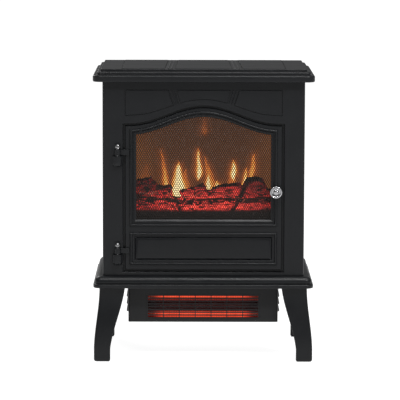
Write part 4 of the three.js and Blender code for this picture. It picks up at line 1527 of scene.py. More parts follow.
def door_screen(settings):
    """Two layers of slanted wires, crossing in tall diamonds and trimmed to the arch."""
    low, high = box_mm("door_mesh")
    width, height = settings.mesh_width / MM, settings.mesh_height / MM
    radius = settings.wire / MM
    tall = high.z - low.z + 8
    lean = tall * width / height
    count = int((2 * (high.x + 4) + lean) / width)
    first = -(count - 1) * width / 2
    layers = []
    for side, y in ((1, low.y + radius), (-1, high.y - radius)):
        foot, head = (-side * lean / 2, 0, -tall / 2), (side * lean / 2, 0, tall / 2)
        wire = rod("wire", radius, foot, head, 6)
        wires = stepped("wires", wire, count, (first, y, (low.z + high.z) / 2), (width, 0, 0))
        trim = slab("trim", arched(WINDOW, 4.6), in_front, low.y - 1, high.y + 1)
        layers.append(combine(wires, "INTERSECT", [trim]))
    hand_over(beside("wire_screen", *layers), "wire_screen", "door", "mesh_black", "door_mesh")


def door_lower_panel():
    """A panel that rises from its rebate to a raised field."""
    seat = DOOR_FACE + 3.3
    rings = [
        in_front(rectangle(-half, bottom, half, top), y)
        for half, bottom, top, y in (
            (135.6, 196.4, 245.6, seat + 1.6),
            (135.6, 196.4, 245.6, seat),
            (132.6, 199.4, 242.6, seat - 0.01),
            (132.6, 199.4, 242.6, seat - 1.2),
            (127.5, 202, 237, seat - 3.4),
        )
    ]
    panel = solid("raised_field", *skin(rings))
    hand_over(ease(panel, 0.7, 3), "raised_field", "door", "satin_black", "door_lower_panel")


def door_knob(settings):
    """The round pull and its screw, and the magnetic catch."""
    radius = settings.knob / MM
    x, z = knob_place()
    seat = DOOR_FACE - BEAD_RAISE - 0.3
    # Each corner of the pull's profile is (radius, height, rounding).
    line = filleted([
        (0, 0, 0),
        (8, 0, 0.6),
        (6.6, 2.6, 1.6),
        (radius - 1.3, 4.6, 1.2),
        (radius, 6.8, 1.2),
        (radius - 1, 9.4, 0.9),
        (radius - 3.2, 9.5, 0.7),
        (radius - 4.2, 8.1, 0.8),
        (5.6, 7.7, 0.5),
        (5.1, 8.5, 0.5),
        (4.4, 10.3, 0.9),
        (2, 11, 1.5),
        (0, 11, 0),
    ], steps=4)
    knob = turned("round_pull", line, (x, seat, z), (0, -1, 0), 72)
    cut(knob, rod("hole", SCREW_HOLE, (x, seat + 1, z), (x, seat - 5, z)))
    hand_over(knob, "round_pull", "door", "bright_chrome", "door_knob")
    low, high = box_mm("knob_screw")
    head = [(0, 0), (3.4, 0), (4.2, 0.5), (4.2, 2.6), (0, 2.6)]
    screw = turned("pull_screw", head, (x, high.y, z), (0, -1, 0), 40)
    join(screw, rod("shank", 2, (x, high.y - 2, z), (x, low.y, z)))
    cut(screw, block("slot", (x - 5, high.y - 1, z - 0.6), (x + 5, high.y + 1, z + 0.6)))
    hand_over(screw, "pull_screw", "door", "bright_steel", "knob_screw")
    for node, name, body, slot_name in (
        ("striker_plate", "catch_striker", "door", "bright_steel"),
        ("door_magnet", "catch_magnet", "cabinet", "dark_plastic"),
    ):
        low, high = box_mm(node)
        hand_over(ease(block(name, low, high), 0.35, 3), name, body, slot_name, node)


def hinge(place):
    """A fluted bracket on the body, a strap on the door and a ball-headed pin through both."""
    node = place + "_hinge"
    x, y, _ = middle_mm(node + "_pin")
    pin_depth = 17.6
    z = box_mm(node + "_pin")[0].z + pin_depth
    wall = FACE - 0.3
    flutes, flute_depth = 5, 0.09
    half_width, stand_out = 10.5, 12.5

    def outline(scale, level):
        ring = []
        for angle in sweep(180, 360, 72):
            wave = scale * (1 - flute_depth * (0.5 + 0.5 * math.cos(2 * flutes * angle)))
            out = (half_width * wave * math.cos(angle), stand_out * wave * math.sin(angle))
            ring.append((x + out[0], wall + out[1], z + level))
        return ring

    # The knuckle swells from a rounded foot: each level is (scale, height).
    levels = [
        (0.42, -22), (0.62, -21.6), (0.8, -20.4), (0.92, -18.6),
        (0.98, -16.6), (1, -14.5), (1, -1.6), (0.97, -0.6),
    ]
    rings = [outline(scale, level) for scale, level in levels]
    bracket = solid(place + "_knuckle", *skin(rings), smooth_angle=50)
    cut(bracket, rod("bore", 2.8, (x, y, z - 18), (x, y, z + 4)))
    hand_over(bracket, place + "_knuckle", "cabinet", "satin_black", node + "_bracket")
    strap_high = box_mm(node + "_strap")[1]
    low_edge, high_edge = z + 1, z + 11.6
    profile = [(0, 0.6), (5.4, 0.6), (6, 1.2), (6, 11.4), (5.4, 12), (0, 12)]
    barrel = turned(place + "_strap", profile, (x, y, z), (0, 0, 1), 48)
    arm = block("arm", (x, wall - 3.1, low_edge), (strap_high.x, wall, high_edge))
    foot = block(
        "foot",
        (strap_high.x - 6, wall - 1, low_edge),
        (strap_high.x, strap_high.y, high_edge),
    )
    join(barrel, ease(arm, 0.9, 3), ease(foot, 0.5, 2))
    cut(barrel, rod("bore", 2.7, (x, y, z - 1), (x, y, z + 14)))
    hand_over(barrel, place + "_strap", "door", "satin_black", node + "_strap")
    ball, ball_height, shank = 5.3, 18, 2.5
    profile = [(0, -pin_depth), (2.2, -pin_depth), (shank, -17.2), (shank, 12.6)]
    profile += [(3.4, 13), (3.4, 13.5)]
    profile += [(ball * math.cos(a), ball_height + ball * math.sin(a)) for a in sweep(-52, 90, 14)]
    pin = turned(place + "_ball_pin", profile, (x, y, z), (0, 0, 1), 56, smooth_angle=50)
    hand_over(pin, place + "_ball_pin", "cabinet", "bright_steel", node + "_pin", make=black_nickel)


# ---- Firebox and fire --------------------------------------------------------

def firebox():
    """Coats the frame's own plain parts in and round the firebox, and sets lamps on its boards."""
    for slot, nodes in (
        ("smoked_glass", ("window_glass",)),
        ("painted_steel", ("firebox_floor", "firebox_roof")),
        ("painted_steel", ("firebox_left_wall", "firebox_right_wall")),
        ("bright_steel", ("lamp_box_back",)),
        ("flame_diffuser", ("flame_screen",)),
        ("circuit_board", ("ember_led_board", "flame_led_board", "control_board")),
        ("dark_plastic", ("rotor_bearing", "thermal_cutoff", "blower_bearing", "thermostat_body")),
    ):
        for node in nodes:
            coat_node(node, finish_of(slot))
    margin = 8
    dome = [(2.2, 0), (2.4, 1.2), (1.7, 2.6), (0, 3.2)]
    for node, count in (("flame_led_board", 12), ("ember_led_board", 10)):
        low, high = box_mm(node)
        lamp = turned("lamp", dome, (0, 0, 0), (0, 0, 1), 12)
        step = (high.x - low.x - 2 * margin) / (count - 1)
        start = (low.x + margin, (low.y + high.y) / 2, high.z - 0.2)
        lamps = stepped(node + "_lamps", lamp, count, start, (step, 0, 0))
        hand_over(lamps, node + "_lamps", "cabinet", "ceramic")


# Each log is (radius, start, end, end radius).
LOGS = (
    (16, (-137, -46, 330), (-98, -48, 338), 19),
    (20, (-112, -36, 331), (-110, -64, 333), 17),
    (17, (-104, -48, 318), (-62, -50, 322), 16),
    (14, (-66, -48, 301), (-30, -48, 303), 14),
    (15, (-41, -50, 312), (6, -52, 330), 14),
    (19, (-30, -50, 306), (60, -50, 314), 20),
    (13, (18, -50, 322), (76, -50, 332), 13),
    (14, (56, -66, 284), (100, -46, 344), 15),
    (23, (102, -34, 332), (102, -66, 330), 20),
    (15, (104, -50, 326), (136, -50, 312), 13),
    (15, (-135, -70, 302), (-18, -78, 296), 15),
    (15, (-24, -74, 298), (64, -74, 300), 15),
    (14, (60, -74, 296), (135, -68, 303), 14),
    (11, (-136, -60, 314), (-112, -62, 312), 11),
)


def log_relief(settings):
    """The logs grown together into one moulding, with ridges of bark and chopped faces."""
    low, high = box_mm("log_set")
    front, back, thick, steps = -88, -28, 16, 24
    parts = [block("base", (low.x + 1, front, low.z), (high.x - 1, back, low.z + thick))]
    for number, (radius, start, end, end_radius) in enumerate(LOGS):
        axis = Vector(end) - Vector(start)
        span = axis.length
        line = []
        for i in range(steps + 1):
            share = i / steps
            swell = 1 + 0.07 * noise.noise(Vector((number * 7.3, share * 4, 0)))
            line.append(((radius + (end_radius - radius) * share) * swell, span * share))
        parts.append(turned("log", line, start, axis.normalized(), 40))
    relief = beside("log_relief", *parts)
    grid = relief.modifiers.new("grid", "REMESH")
    grid.mode = "VOXEL"
    grid.voxel_size = settings.voxel
    settle(relief)
    mesh = relief.data
    moved = []
    for vertex in mesh.vertices:
        place = vertex.co / MM
        along = Vector((place.x * 0.035, place.y * 0.11, place.z * 0.11))
        ridge = 1 - abs(noise.noise(along * 1.6)) * 2.4
        lump = noise.fractal(place * 0.05, 1.0, 2.0, 3)
        chop = noise.turbulence(Vector((place.x * 0.03, place.y * 0.06, place.z * 0.06)), 3, True)
        depth = 1.3 * ridge + 2.6 * lump + 3.4 * chop - 2.4
        moved.append(vertex.co + vertex.normal * depth * MM)
    for vertex, place in zip(mesh.vertices, moved):
        place.z = max(place.z, low.z * MM)
        vertex.co = place
    mesh.shade_smooth()
    hand_over(relief, "log_relief", "cabinet", "ember_resin", "log_set")


def ember_bed():
    """A shallow tray strewn with lumps of ember."""
    low, high = box_mm("ember_bed")
    rim, bed = high.z - 2, high.z - 3
    tray = block("ember_tray", low, (high.x, high.y, rim))
    cut(tray, block("well", (-125, -90, low.z - 1), (125, -30, high.z - 5)))
    ease(tray, 1.2, 3)
    hand_over(tray, "ember_tray", "cabinet", "ember_resin", "ember_bed", make=ember_light)
    strewn = rectangle(low.x + 5, low.y + 4, high.x - 5, high.y - 5)
    ground = slab("ground", strewn, in_plan, bed, rim)
    work = bmesh.new()
    bmesh.ops.create_icosphere(work, subdivisions=1, radius=3.6 * MM)
    for vertex in work.verts:
        vertex.co *= 1 + 0.28 * noise.noise(vertex.co * 400)
        vertex.co.z *= 0.72
    lump_mesh = bpy.data.meshes.new("lump")
    work.to_mesh(lump_mesh)
    work.free()
    lump = bpy.data.objects.new("lump", lump_mesh)
    bpy.context.scene.collection.objects.link(lump)
    lumps = grown(
        "ember_lumps",
        tree_named("Strewn Copies", scatter_tree),
        Ground=ground,
        Copy=lump,
        Spacing=0.0058,
        Smallest=0.7,
        Largest=1.25,
    )
    remove(ground)
    remove(lump)
    lumps.data.shade_smooth()
    hand_over(lumps, "ember_lumps", "cabinet", "ember_resin", make=ember_light)


SHAFT = 2.5


def motor(name, node, profile, y, z, foot, bore_end):
    """A motor can on a foot, given as (start, end, half width), bored for the shaft it turns."""
    low = box_mm(node)[0]
    can = turned(name, filleted(profile), (low.x, y, z), (1, 0, 0))
    start, end, half = foot
    base = block("foot", (low.x + start, y - half, low.z), (low.x + end, y + half, z))
    join(can, ease(base, 0.8, 2))
    cut(can, rod("bore", 2.8, (low.x - 5, y, z), (bore_end, y, z)))
    hand_over(can, name, "cabinet", "bright_steel", node)


def flame_drive():
    """The spindle with its dished flags, each a turn on from the last, and its motor."""
    low, high = box_mm("flame_rotor")
    y = middle_mm("flame_motor")[1]
    z = box_mm("flame_motor")[1].z - 20
    spindle = rod("spangled_spindle", SHAFT, (low.x, y, z), (high.x, y, z), 32)
    flag_radius = 26
    arc = [
        (flag_radius * (1 - math.cos(a)) * 0.25 + 0.4, flag_radius * math.sin(a) * 0.9)
        for a in sweep(-58, 58, 10)
    ]
    flag = slab("flag", arc + [(a - 0.8, b) for a, b in reversed(arc)], in_section, -8, 8)
    flags = stepped("flags", flag, 11, (-110, y, z), (22, 0, 0), turn_step=(math.radians(50), 0, 0))
    join(spindle, flags)
    hand_over(spindle, "spangled_spindle", "flame_spindle", "bright_steel", "flame_rotor")
    profile = [(0, 0, 0), (20, 0, 1.2), (20, 10, 0.8), (15, 10.4, 0.4), (15, 15, 1), (0, 15, 0)]
    motor("spindle_motor", "flame_motor", profile, y, z, (2, 12, 12), high.x + 1)


# ---- Heater box --------------------------------------------------------------

def grille_frame(margin):
    """The outlet grille's outline, smaller by a margin."""
    return rectangle(
        GRILLE_LOW.x + margin,
        GRILLE_LOW.z + margin,
        GRILLE_HIGH.x - margin,
        GRILLE_HIGH.z - margin,
    )


def heater_housing():
    """A tub with an outlet in front, hooded slots in its sides and vents behind."""
    half, wall = 147.0, 1.5
    low_y, high_y = HEATER_LOW.y, HEATER_HIGH.y
    low_z, high_z = HEATER_LOW.z, HEATER_HIGH.z
    middle = (0, (low_y + high_y) / 2)
    depth = (high_y - low_y) / 2
    tub = slab("heater_shell", rounded(half, depth, 3, centre=middle), in_plan, low_z, high_z)
    ease(tub, 1.0, 3, angle=60)
    inside = rounded(half - wall, depth - wall, 2, centre=middle)
    cut(tub, slab("room", inside, in_plan, low_z + wall, high_z + 1))
    outlet = grille_frame(3.7)
    cut(tub, slab("outlet", outlet, in_front, low_y - 1, low_y + wall + 1))
    lowest, pitch, count = 88.0, 14.5, 3
    slot = block("slot", (-half - 2, -70, 0), (half + 2, 60, 6))
    slots = stepped("slots", slot, count, (0, 0, lowest), (0, 0, pitch))
    vent = block("vent", (-80, high_y - 3, 0), (80, high_y + 2, 4))
    vents = stepped("vents", vent, 4, (0, 0, 90), (0, 0, 10))
    cut(tub, slots, vents)
    hand_over(tub, "heater_shell", "cabinet", "painted_steel", "heater_housing")
    hood = louvre_hood(132, 11.6, 4.6)
    for side, facing, start_y in ((1, "right", 61), (-1, "left", -71)):
        name = "heater_louvres_" + facing
        start, turn = (side * half, start_y, lowest), (0, 0, -side * math.pi / 2)
        hoods = stepped(name, hood, count, start, (0, 0, pitch), turn, keep_copy=True)
        hand_over(hoods, name, "cabinet", "painted_steel")
    remove(hood)
    for side, facing in ((1, "right"), (-1, "left")):
        start = (side * (half - 0.2), low_y + 10, high_z - 8)
        screws("heater_screws_" + facing, facing, 2.4, start, (0, 88, 0), 3)
    margin = 18
    start, across = (margin - half, low_y + 20, low_z + 0.2), (2 * (half - margin), 0, 0)
    screws("heater_floor_screws", "down", 2.4, start, across, 2, rows=2, row_step=(0, 158, 0))


def heater_grille(settings):
    """A plate of slots in rows, between upright bars."""
    front, back = GRILLE_LOW.y, GRILLE_HIGH.y
    plate = slab("slatted_grille", grille_frame(4.0), in_front, front, back)
    join(plate, slab("rim", grille_frame(0), in_front, back - 1, back))
    half_x, half_z = settings.slot_width / MM / 2, settings.slot_height / MM / 2
    bay, pitch = settings.bay_pitch / MM, settings.slot_pitch / MM
    columns, rows = 7, 8
    middle_z = (GRILLE_LOW.z + GRILLE_HIGH.z) / 2
    slot = slab("slot", rounded(half_x, half_z, 0.8, 3), in_front, front - 2, back + 2)
    start = (-(columns - 1) * bay / 2, 0, middle_z - (rows - 1) * pitch / 2)
    slots = stepped("slots", slot, columns, start, (bay, 0, 0), rows=rows, row_step=(0, 0, pitch))
    cut(plate, slots)
    ease(plate, 0.3, 2, angle=50)
    hand_over(plate, "slatted_grille", "cabinet", "painted_steel", "heater_grille")


def reflector():
    """A bent trough behind the tubes, with a ridge between them."""
    low, high = box_mm("reflector")
    middle_z = (low.z + high.z) / 2
    deep, tall = high.y - low.y - 1, (high.z - low.z) / 2 - 1
    ridge_height, ridge_half, sheet = 9, 6.5, 0.8

    def trough(grow):
        line = []
        for angle in sweep(90, -90, 56):
            z = (tall + grow) * math.sin(angle)
            ridge = ridge_height * max(1 - abs(z) / ridge_half, 0)
            line.append((low.y + (deep + grow) * math.cos(angle) - ridge, middle_z + z))
        return line

    outline = trough(sheet) + list(reversed(trough(0)))
    trough_sheet = slab("polished_trough", outline, in_section, low.x, high.x, smooth_angle=25)
    hand_over(trough_sheet, "polished_trough", "cabinet", "bright_steel", "reflector")


def quartz_tubes(settings):
    """Two open tubes with a wound wire inside, ceramic caps, and the holders they sit in."""
    radius = settings.tube / MM
    inner = radius - 0.9
    cap_line = [(0, 0), (radius - 1.1, 0), (radius - 1.1, 9), (2, 9.4), (2, 11), (0, 11)]
    bores = []
    for place in ("upper", "lower"):
        node = "quartz_tube_" + place
        low, high = box_mm(node)
        _, y, z = middle_mm(node)
        rings = [
            [(x, y + a, z + b) for a, b in circle(r, 48)]
            for r, x in ((radius, low.x), (radius, high.x), (inner, high.x), (inner, low.x))
        ]
        tube = solid(place + "_glass", *skin(rings, around=True))
        hand_over(tube, place + "_glass", "cabinet", "quartz_glow", node)
        coil_half = 113
        coil = grown(
            place + "_coil",
            tree_named("Wound Wire", coil_tree),
            Turns=92.0,
            Radius=0.0033,
            Length=2 * coil_half * MM,
            Wire_Radius=0.00042,
            Centre=metres((-coil_half, y, z)),
        )
        hand_over(stripped(coil, 60), place + "_coil", "cabinet", "quartz_glow", make=hot_wire)
        for side, x, inwards in (("left", low.x, 1), ("right", high.x, -1)):
            cap = turned(side + "_cap", cap_line, (x, y, z), (inwards, 0, 0), 36)
            hand_over(cap, place + "_" + side + "_cap", "cabinet", "ceramic")
        bores.append((y, z))
    for side in ("left", "right"):
        low, high = box_mm(side + "_tube_holder")
        holder = ease(block(side + "_holder", low, high), 1.2, 3)
        cut(holder, *[
            rod("bore", radius + 0.4, (low.x - 1, y, z), (high.x + 1, y, z), 48)
            for y, z in bores
        ])
        hand_over(holder, side + "_holder", "cabinet", "ceramic", side + "_tube_holder")


def blower():
    """A drum of curved blades between discs, with its motor and its scroll of sheet."""
    low, high = box_mm("blower_wheel")
    _, y, z = middle_mm("blower_wheel")
    radius, half, blades = 22.0, 95.0, 24
    arc = sweep(20, 98, 8)
    outer = [(5.6 * math.cos(a) - 2.4, radius - 8.2 + 6.6 * math.sin(a)) for a in arc]
    inner = [(5.0 * math.cos(a) - 2.5, radius - 8.4 + 6.0 * math.sin(a)) for a in reversed(arc)]
    blade = slab("blade", outer + inner, in_section, -half, half)
    drum = stepped("blades", blade, blades, (0, y, z), turn_step=(2 * math.pi / blades, 0, 0))
    disc_line = filleted([(0, -1, 0), (radius, -1, 0.4), (radius, 1, 0.4), (0, 1, 0)])
    discs = [turned("disc", disc_line, (x, y, z), (1, 0, 0)) for x in (-half, 0, half)]
    wheel = rod("cross_flow_wheel", SHAFT, (low.x, y, z), (high.x, y, z), 32)
    join(wheel, *discs)
    join(wheel, drum)
    hand_over(wheel, "cross_flow_wheel", "blower", "dark_plastic", "blower_wheel")
    profile = [
        (0, 0, 0), (14, 0, 1), (14, 4, 0.8), (21, 4.5, 1.5),
        (21, 29, 1.5), (14, 29.5, 0.8), (14, 34, 1), (0, 34, 0),
    ]
    motor("wheel_motor", "blower_motor", profile, y, z, (5, 29, 14), high.x + 2)
    duct_low, duct_high = box_mm("blower_duct")
    arc = sweep(-100, 140, 48)
    line = [
        (y + r * math.cos(a), z - 1 + r * math.sin(a))
        for r, angles in ((27, arc), (26.2, list(reversed(arc))))
        for a in angles
    ]
    duct = slab("scroll_duct", line, in_section, duct_low.x, duct_high.x)
    hand_over(duct, "scroll_duct", "cabinet", "bright_steel", "blower_duct")


# ---- Rear controls and gland -------------------------------------------------

def rocker_switch(place, body, x, level, face):
    """A rocker on a trunnion in its collar, tipped to its off side."""
    collar_back = box_mm(place + "_switch_body")[1].y
    pivot = face - 2.5
    outline = rounded(7.8, 11.8, 1.8, centre=(x, level))
    collar = slab("collar", outline, in_front, face + 0.3, collar_back)
    ease(collar, 0.5, 3)
    housing = rectangle(x - 6.6, level - 10.6, x + 6.6, level + 10.6)
    join(collar, slab("housing", housing, in_front, face - 22, face + 1))
    pocket = slab("pocket", rounded(5.4, 9.3, 0.8, centre=(x, level)), in_front, face - 9, face + 5)
    cut(collar, pocket, rod("bore", 1.5, (x - 6, pivot, level), (x + 6, pivot, level)))
    hand_over(collar, place + "_rocker_frame", "cabinet", "dark_plastic", place + "_switch_body")
    reach, dip, half = 5.4, 1.8, 8
    heights = [2 * half * i / 20 - half for i in range(21)]
    dish = [(reach - dip * (1 - (z / half) ** 2), z) for z in heights]
    cap = slab("cap", [(-3, 7.2), (-3, -7.2)] + dish, in_section, -5, 5)
    ease(cap, 0.5, 3, angle=40)
    join(cap, rod("trunnion", 1.2, (-5.8, 0, 0), (5.8, 0, 0)))
    tip = Matrix.Rotation(math.radians(-7), 4, "X")
    cap.data.transform(Matrix.Translation(Vector((x, pivot, level)) * MM) @ tip)
    hand_over(cap, place + "_rocker_cap", body, "dark_plastic", place + "_rocker")


def rear_controls():
    """The control plate with two rockers, and a thermostat knob in its ring of marks."""
    low, high = box_mm("control_panel")
    before, face, after = low.y - 1, high.y, high.y + 1
    middle_x, _, level = middle_mm("control_panel")
    knob_x = middle_mm("thermostat_knob")[0]
    outline = rounded((high.x - low.x) / 2, (high.z - low.z) / 2, 4, centre=(middle_x, level))
    plate = slab("control_plate", outline, in_front, low.y, face)
    ease(plate, 0.8, 3, angle=60)
    holes = [rod("hole", 5, (knob_x, before, level), (knob_x, after, level))]
    for place, body in (("power", "power_button"), ("heat", "heat_button")):
        x = middle_mm(place + "_rocker")[0]
        hole = rectangle(x - 6.9, level - 10.9, x + 6.9, level + 10.9)
        holes.append(slab("hole", hole, in_front, before, after))
        rocker_switch(place, body, x, level, face)
    cut(plate, *holes)
    hand_over(plate, "control_plate", "cabinet", "dark_plastic", "control_panel")
    dial = (knob_x, face, level)
    mark_turn, mark_count = 27, 11
    marks = stepped(
        "dial_marks",
        ease(block("mark", (-0.35, -0.3, 15.4), (0.35, 0.3, 17.6)), 0.15, 2),
        mark_count,
        dial,
        turn=(0, math.radians(-mark_turn * (mark_count - 1) / 2), 0),
        turn_step=(0, math.radians(mark_turn), 0),
    )
    hand_over(marks, "dial_marks", "cabinet", "ceramic")
    margin = 5
    start = (low.x + margin, face - 0.2, low.z + margin)
    across, up = high.x - low.x - 2 * margin, high.z - low.z - 2 * margin
    screws("control_screws", "back", 2.2, start, (across, 0, 0), 2, rows=2, row_step=(0, 0, up))
    top = 12.2
    line = filleted([
        (0, 0.5, 0),
        (14, 0.5, 0.5),
        (14, 2.2, 0.5),
        (12.4, 3, 0.6),
        (11.6, top, 1),
        (0, top, 0),
    ])
    knob = turned("thermostat_grip", line, dial, (0, 1, 0), 72)
    grip = rod("grip", 0.55, (0, 3.2, 12.1), (0, 11.4, 11.5), 10)
    grips = 30
    ring = stepped("ring", grip, grips, dial, turn_step=(0, 2 * math.pi / grips, 0))
    pointer = block(
        "pointer",
        (knob_x - 1, face + 2.4, level + 6),
        (knob_x + 1, face + top, level + 13.2),
    )
    join(knob, ring)
    join(knob, ease(pointer, 0.4, 2))
    cut(knob, rod("bore", 3.3, dial, (knob_x, face + 9.4, level)))
    hand_over(knob, "thermostat_grip", "thermostat", "dark_plastic", "thermostat_knob")


def cord_gland():
    """The bush that the cord leaves the rear sheet through."""
    x, _, z = middle_mm("cord_gland")
    # Each corner of the bush's profile is (radius, height over the rear face, rounding).
    line = filleted([
        (3.6, -9, 0),
        (6.2, -9, 0.5),
        (6.2, 0.3, 0.2),
        (10, 0.3, 0.4),
        (10, 3, 0.8),
        (8, 5, 0.6),
        (6.5, 9, 0.9),
        (3.6, 9, 0),
    ], steps=3)
    rings = [
        [(x + a, REAR_FACE + height, z + b) for a, b in circle(radius, 48)]
        for radius, height in line
    ]
    bush = solid("cord_bush", *skin(rings, around=True))
    hand_over(bush, "cord_bush", "cabinet", "dark_plastic", "cord_gland")


# ---- Stage -------------------------------------------------------------------

# The camera's sideways place in millimetres, and its turns in radians.
CAMERA_SIDE = -24.1
CAMERA_YAW = 0.0037
CAMERA_PITCH = 0.1316
CAMERA_ROLL = -0.0029

# Each light is (name, place, side of its square in metres, watts).
LIGHTS = (
    ("key", (1.6, -2.0, 2.3), 0.35, 52),
    ("second_key", (-0.8, -2.2, 2.4), 0.3, 22),
    ("overhead", (0.4, -1.3, 2.7), 0.9, 42),
    ("back_fill", (-1.4, 2.2, 1.8), 1.0, 24),
)
LIT_POINT = (0, 0, 0.35)


def area_light(name, place, size, power):
    data = bpy.data.lights.new(name, "AREA")
    data.shape = "SQUARE"
    data.size = size
    data.energy = power
    lamp = bpy.data.objects.new(name, data)
    bpy.context.scene.collection.objects.link(lamp)
    lamp.location = place
    lamp.rotation_euler = (Vector(LIT_POINT) - Vector(place)).to_track_quat("-Z", "Y").to_euler()


def camera(settings):
    data = bpy.data.cameras.new("Camera")
    data.lens = settings.lens
    data.sensor_width = 36.0
    data.clip_end = 100.0
    eye = bpy.data.objects.new("Camera", data)
    bpy.context.scene.collection.objects.link(eye)
    tilt = Euler((math.pi / 2 - CAMERA_PITCH, 0, -CAMERA_YAW)).to_matrix()
    roll = Matrix.Rotation(-CAMERA_ROLL, 3, "Z")
    place = Matrix.Translation((CAMERA_SIDE * MM, -settings.distance, settings.height))
    eye.matrix_world = place @ (tilt @ roll).to_4x4()
    bpy.context.scene.camera = eye


def studio_world(ambient):
    """Soft light that grows with height, and a white backdrop for the camera alone."""
    world = bpy.data.worlds.new("studio")
    world.use_nodes = True
    nodes, links = world.node_tree.nodes, world.node_tree.links
    soft = nodes["Background"]
    backdrop = nodes.new("ShaderNodeBackground")
    for glow in (soft, backdrop):
        glow.inputs["Color"].default_value = (*WHITE, 1.0)
    direction = nodes.new("ShaderNodeSeparateXYZ")
    links.new(nodes.new("ShaderNodeTexCoord").outputs["Generated"], direction.inputs[0])
    rising = nodes.new("ShaderNodeMapRange")
    for key, value in (
        ("From Min", 0.1),
        ("From Max", 0.9),
        ("To Min", ambient * 0.15),
        ("To Max", ambient),
    ):
        rising.inputs[key].default_value = value
    links.new(direction.outputs["Z"], rising.inputs["Value"])
    links.new(rising.outputs[0], soft.inputs["Strength"])
    chosen = nodes.new("ShaderNodeMixShader")
    links.new(nodes.new("ShaderNodeLightPath").outputs["Is Camera Ray"], chosen.inputs[0])
    links.new(soft.outputs[0], chosen.inputs[1])
    links.new(backdrop.outputs[0], chosen.inputs[2])
    links.new(chosen.outputs[0], nodes["World Output"].inputs["Surface"])
    return world


def stage(settings):
    half = 30000.0
    floor = block("studio_floor", (-half, -half, -12), (half, half, -0.2))
    floor.data.materials.append(pale_floor())
    bpy.context.scene.world = studio_world(settings.ambient)
    for light in LIGHTS:
        area_light(*light)
    bpy.context.scene.view_settings.view_transform = "Standard"
    camera(settings)


# ---- Operators ---------------------------------------------------------------

class STOVE_OT_stage(bpy.types.Operator):
    """Make the floor, the lights and the camera"""

    bl_idname = "stove.stage"
    bl_label = "Stage"
    bl_options = {"REGISTER", "UNDO"}

    def execute(self, context):
        stage(context.scene.stove_stage)
        return {"FINISHED"}


class STOVE_OT_mouldings(bpy.types.Operator):
    """Make the top plate with its embossed panels, and the moulded base plate"""

    bl_idname = "stove.mouldings"
    bl_label = "Top and base"
    bl_options = {"REGISTER", "UNDO"}

    def execute(self, context):
        top_plate(context.scene.stove_cabinet)
        base_plate(context.scene.stove_cabinet)
        return {"FINISHED"}


class STOVE_OT_legs(bpy.types.Operator):
    """Make the four splayed legs"""

    bl_idname = "stove.legs"
    bl_label = "Legs"
    bl_options = {"REGISTER", "UNDO"}

    def execute(self, context):
        legs()
        return {"FINISHED"}


class STOVE_OT_front(bpy.types.Operator):
    """Make the front panel with its embossed panels and door recess"""

    bl_idname = "stove.front"
    bl_label = "Front panel"
    bl_options = {"REGISTER", "UNDO"}

    def execute(self, context):
        front_panel(context.scene.stove_cabinet)
        return {"FINISHED"}


class STOVE_OT_sheets(bpy.types.Operator):
    """Make the side sheets and the louvred rear sheet, with their screws"""

    bl_idname = "stove.sheets"
    bl_label = "Side and rear sheets"
    bl_options = {"REGISTER", "UNDO"}

    def execute(self, context):
        side_panels()
        rear_panel(context.scene.stove_cabinet)
        return {"FINISHED"}


class STOVE_OT_door(bpy.types.Operator):
    """Make the door's leaf, wire screen, raised field, knob and catch"""

    bl_idname = "stove.door"
    bl_label = "Door"
    bl_options = {"REGISTER", "UNDO"}

    def execute(self, context):
        door_frame(context.scene.stove_door)
        door_screen(context.scene.stove_door)
        door_lower_panel()
        door_knob(context.scene.stove_door)
        return {"FINISHED"}


class STOVE_OT_hinges(bpy.types.Operator):
    """Make the two hinges with their ball-headed pins"""

    bl_idname = "stove.hinges"
    bl_label = "Hinges"
    bl_options = {"REGISTER", "UNDO"}

    def execute(self, context):
        hinge("upper")
        hinge("lower")
        return {"FINISHED"}


class STOVE_OT_fire(bpy.types.Operator):
    """Make the firebox, the logs, the embers and what throws the flames"""

    bl_idname = "stove.fire"
    bl_label = "Fire"
    bl_options = {"REGISTER", "UNDO"}

    def execute(self, context):
        firebox()
        log_relief(context.scene.stove_fire)
        ember_bed()
        flame_drive()
        return {"FINISHED"}


class STOVE_OT_heater_box(bpy.types.Operator):
    """Make the heater box, its louvres and its slatted outlet"""

    bl_idname = "stove.heater_box"
    bl_label = "Heater box"
    bl_options = {"REGISTER", "UNDO"}

    def execute(self, context):
        heater_housing()
        heater_grille(context.scene.stove_heater)
        return {"FINISHED"}


class STOVE_OT_elements(bpy.types.Operator):
    """Make the reflector, the quartz tubes and their holders"""

    bl_idname = "stove.elements"
    bl_label = "Heating elements"
    bl_options = {"REGISTER", "UNDO"}

    def execute(self, context):
        reflector()
        quartz_tubes(context.scene.stove_heater)
        return {"FINISHED"}


class STOVE_OT_blower(bpy.types.Operator):
    """Make the cross-flow blower, its motor and its duct"""

    bl_idname = "stove.blower"
    bl_label = "Blower"
    bl_options = {"REGISTER", "UNDO"}

    def execute(self, context):
        blower()
        return {"FINISHED"}


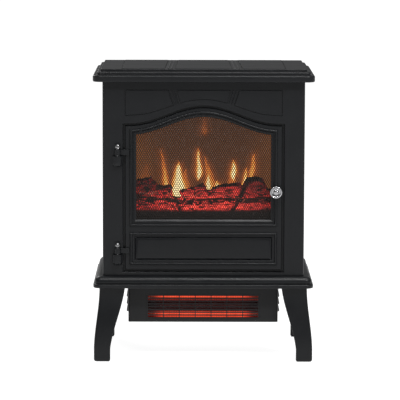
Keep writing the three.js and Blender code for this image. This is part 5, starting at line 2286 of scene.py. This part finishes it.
class STOVE_OT_controls(bpy.types.Operator):
    """Make the rear control plate, rockers, thermostat knob and cord bush"""

    bl_idname = "stove.controls"
    bl_label = "Rear controls"
    bl_options = {"REGISTER", "UNDO"}

    def execute(self, context):
        rear_controls()
        cord_gland()
        return {"FINISHED"}


OPERATORS = (
    STOVE_OT_stage,
    STOVE_OT_mouldings,
    STOVE_OT_legs,
    STOVE_OT_front,
    STOVE_OT_sheets,
    STOVE_OT_door,
    STOVE_OT_hinges,
    STOVE_OT_fire,
    STOVE_OT_heater_box,
    STOVE_OT_elements,
    STOVE_OT_blower,
    STOVE_OT_controls,
)


class STOVE_PT_pieces(bpy.types.Panel):
    """Lists the operators and the sizes they use"""

    bl_idname = "STOVE_PT_pieces"
    bl_label = "Stove Heater"
    bl_space_type = "VIEW_3D"
    bl_region_type = "UI"
    bl_category = "Stove"

    def draw(self, context):
        column = self.layout.column(align=True)
        for operator in OPERATORS:
            column.operator(operator.bl_idname)
        for name in SETTINGS:
            settings = getattr(context.scene, name)
            box = self.layout.box()
            for key in settings.bl_rna.properties.keys():
                if key not in ("rna_type", "name"):
                    box.prop(settings, key)


SETTINGS = {
    "stove_cabinet": StoveCabinetSettings,
    "stove_door": StoveDoorSettings,
    "stove_fire": StoveFireSettings,
    "stove_heater": StoveHeaterSettings,
    "stove_stage": StoveStageSettings,
}


def register():
    for name, group in SETTINGS.items():
        bpy.utils.register_class(group)
        setattr(bpy.types.Scene, name, bpy.props.PointerProperty(type=group))
    for operator in OPERATORS:
        bpy.utils.register_class(operator)
    bpy.utils.register_class(STOVE_PT_pieces)


def unregister():
    bpy.utils.unregister_class(STOVE_PT_pieces)
    for operator in reversed(OPERATORS):
        bpy.utils.unregister_class(operator)
    for name, group in SETTINGS.items():
        delattr(bpy.types.Scene, name)
        bpy.utils.unregister_class(group)


def main():
    register()
    for operator in OPERATORS:
        family, action = operator.bl_idname.split(".")
        getattr(getattr(bpy.ops, family), action)()


if __name__ == "__main__":
    main()
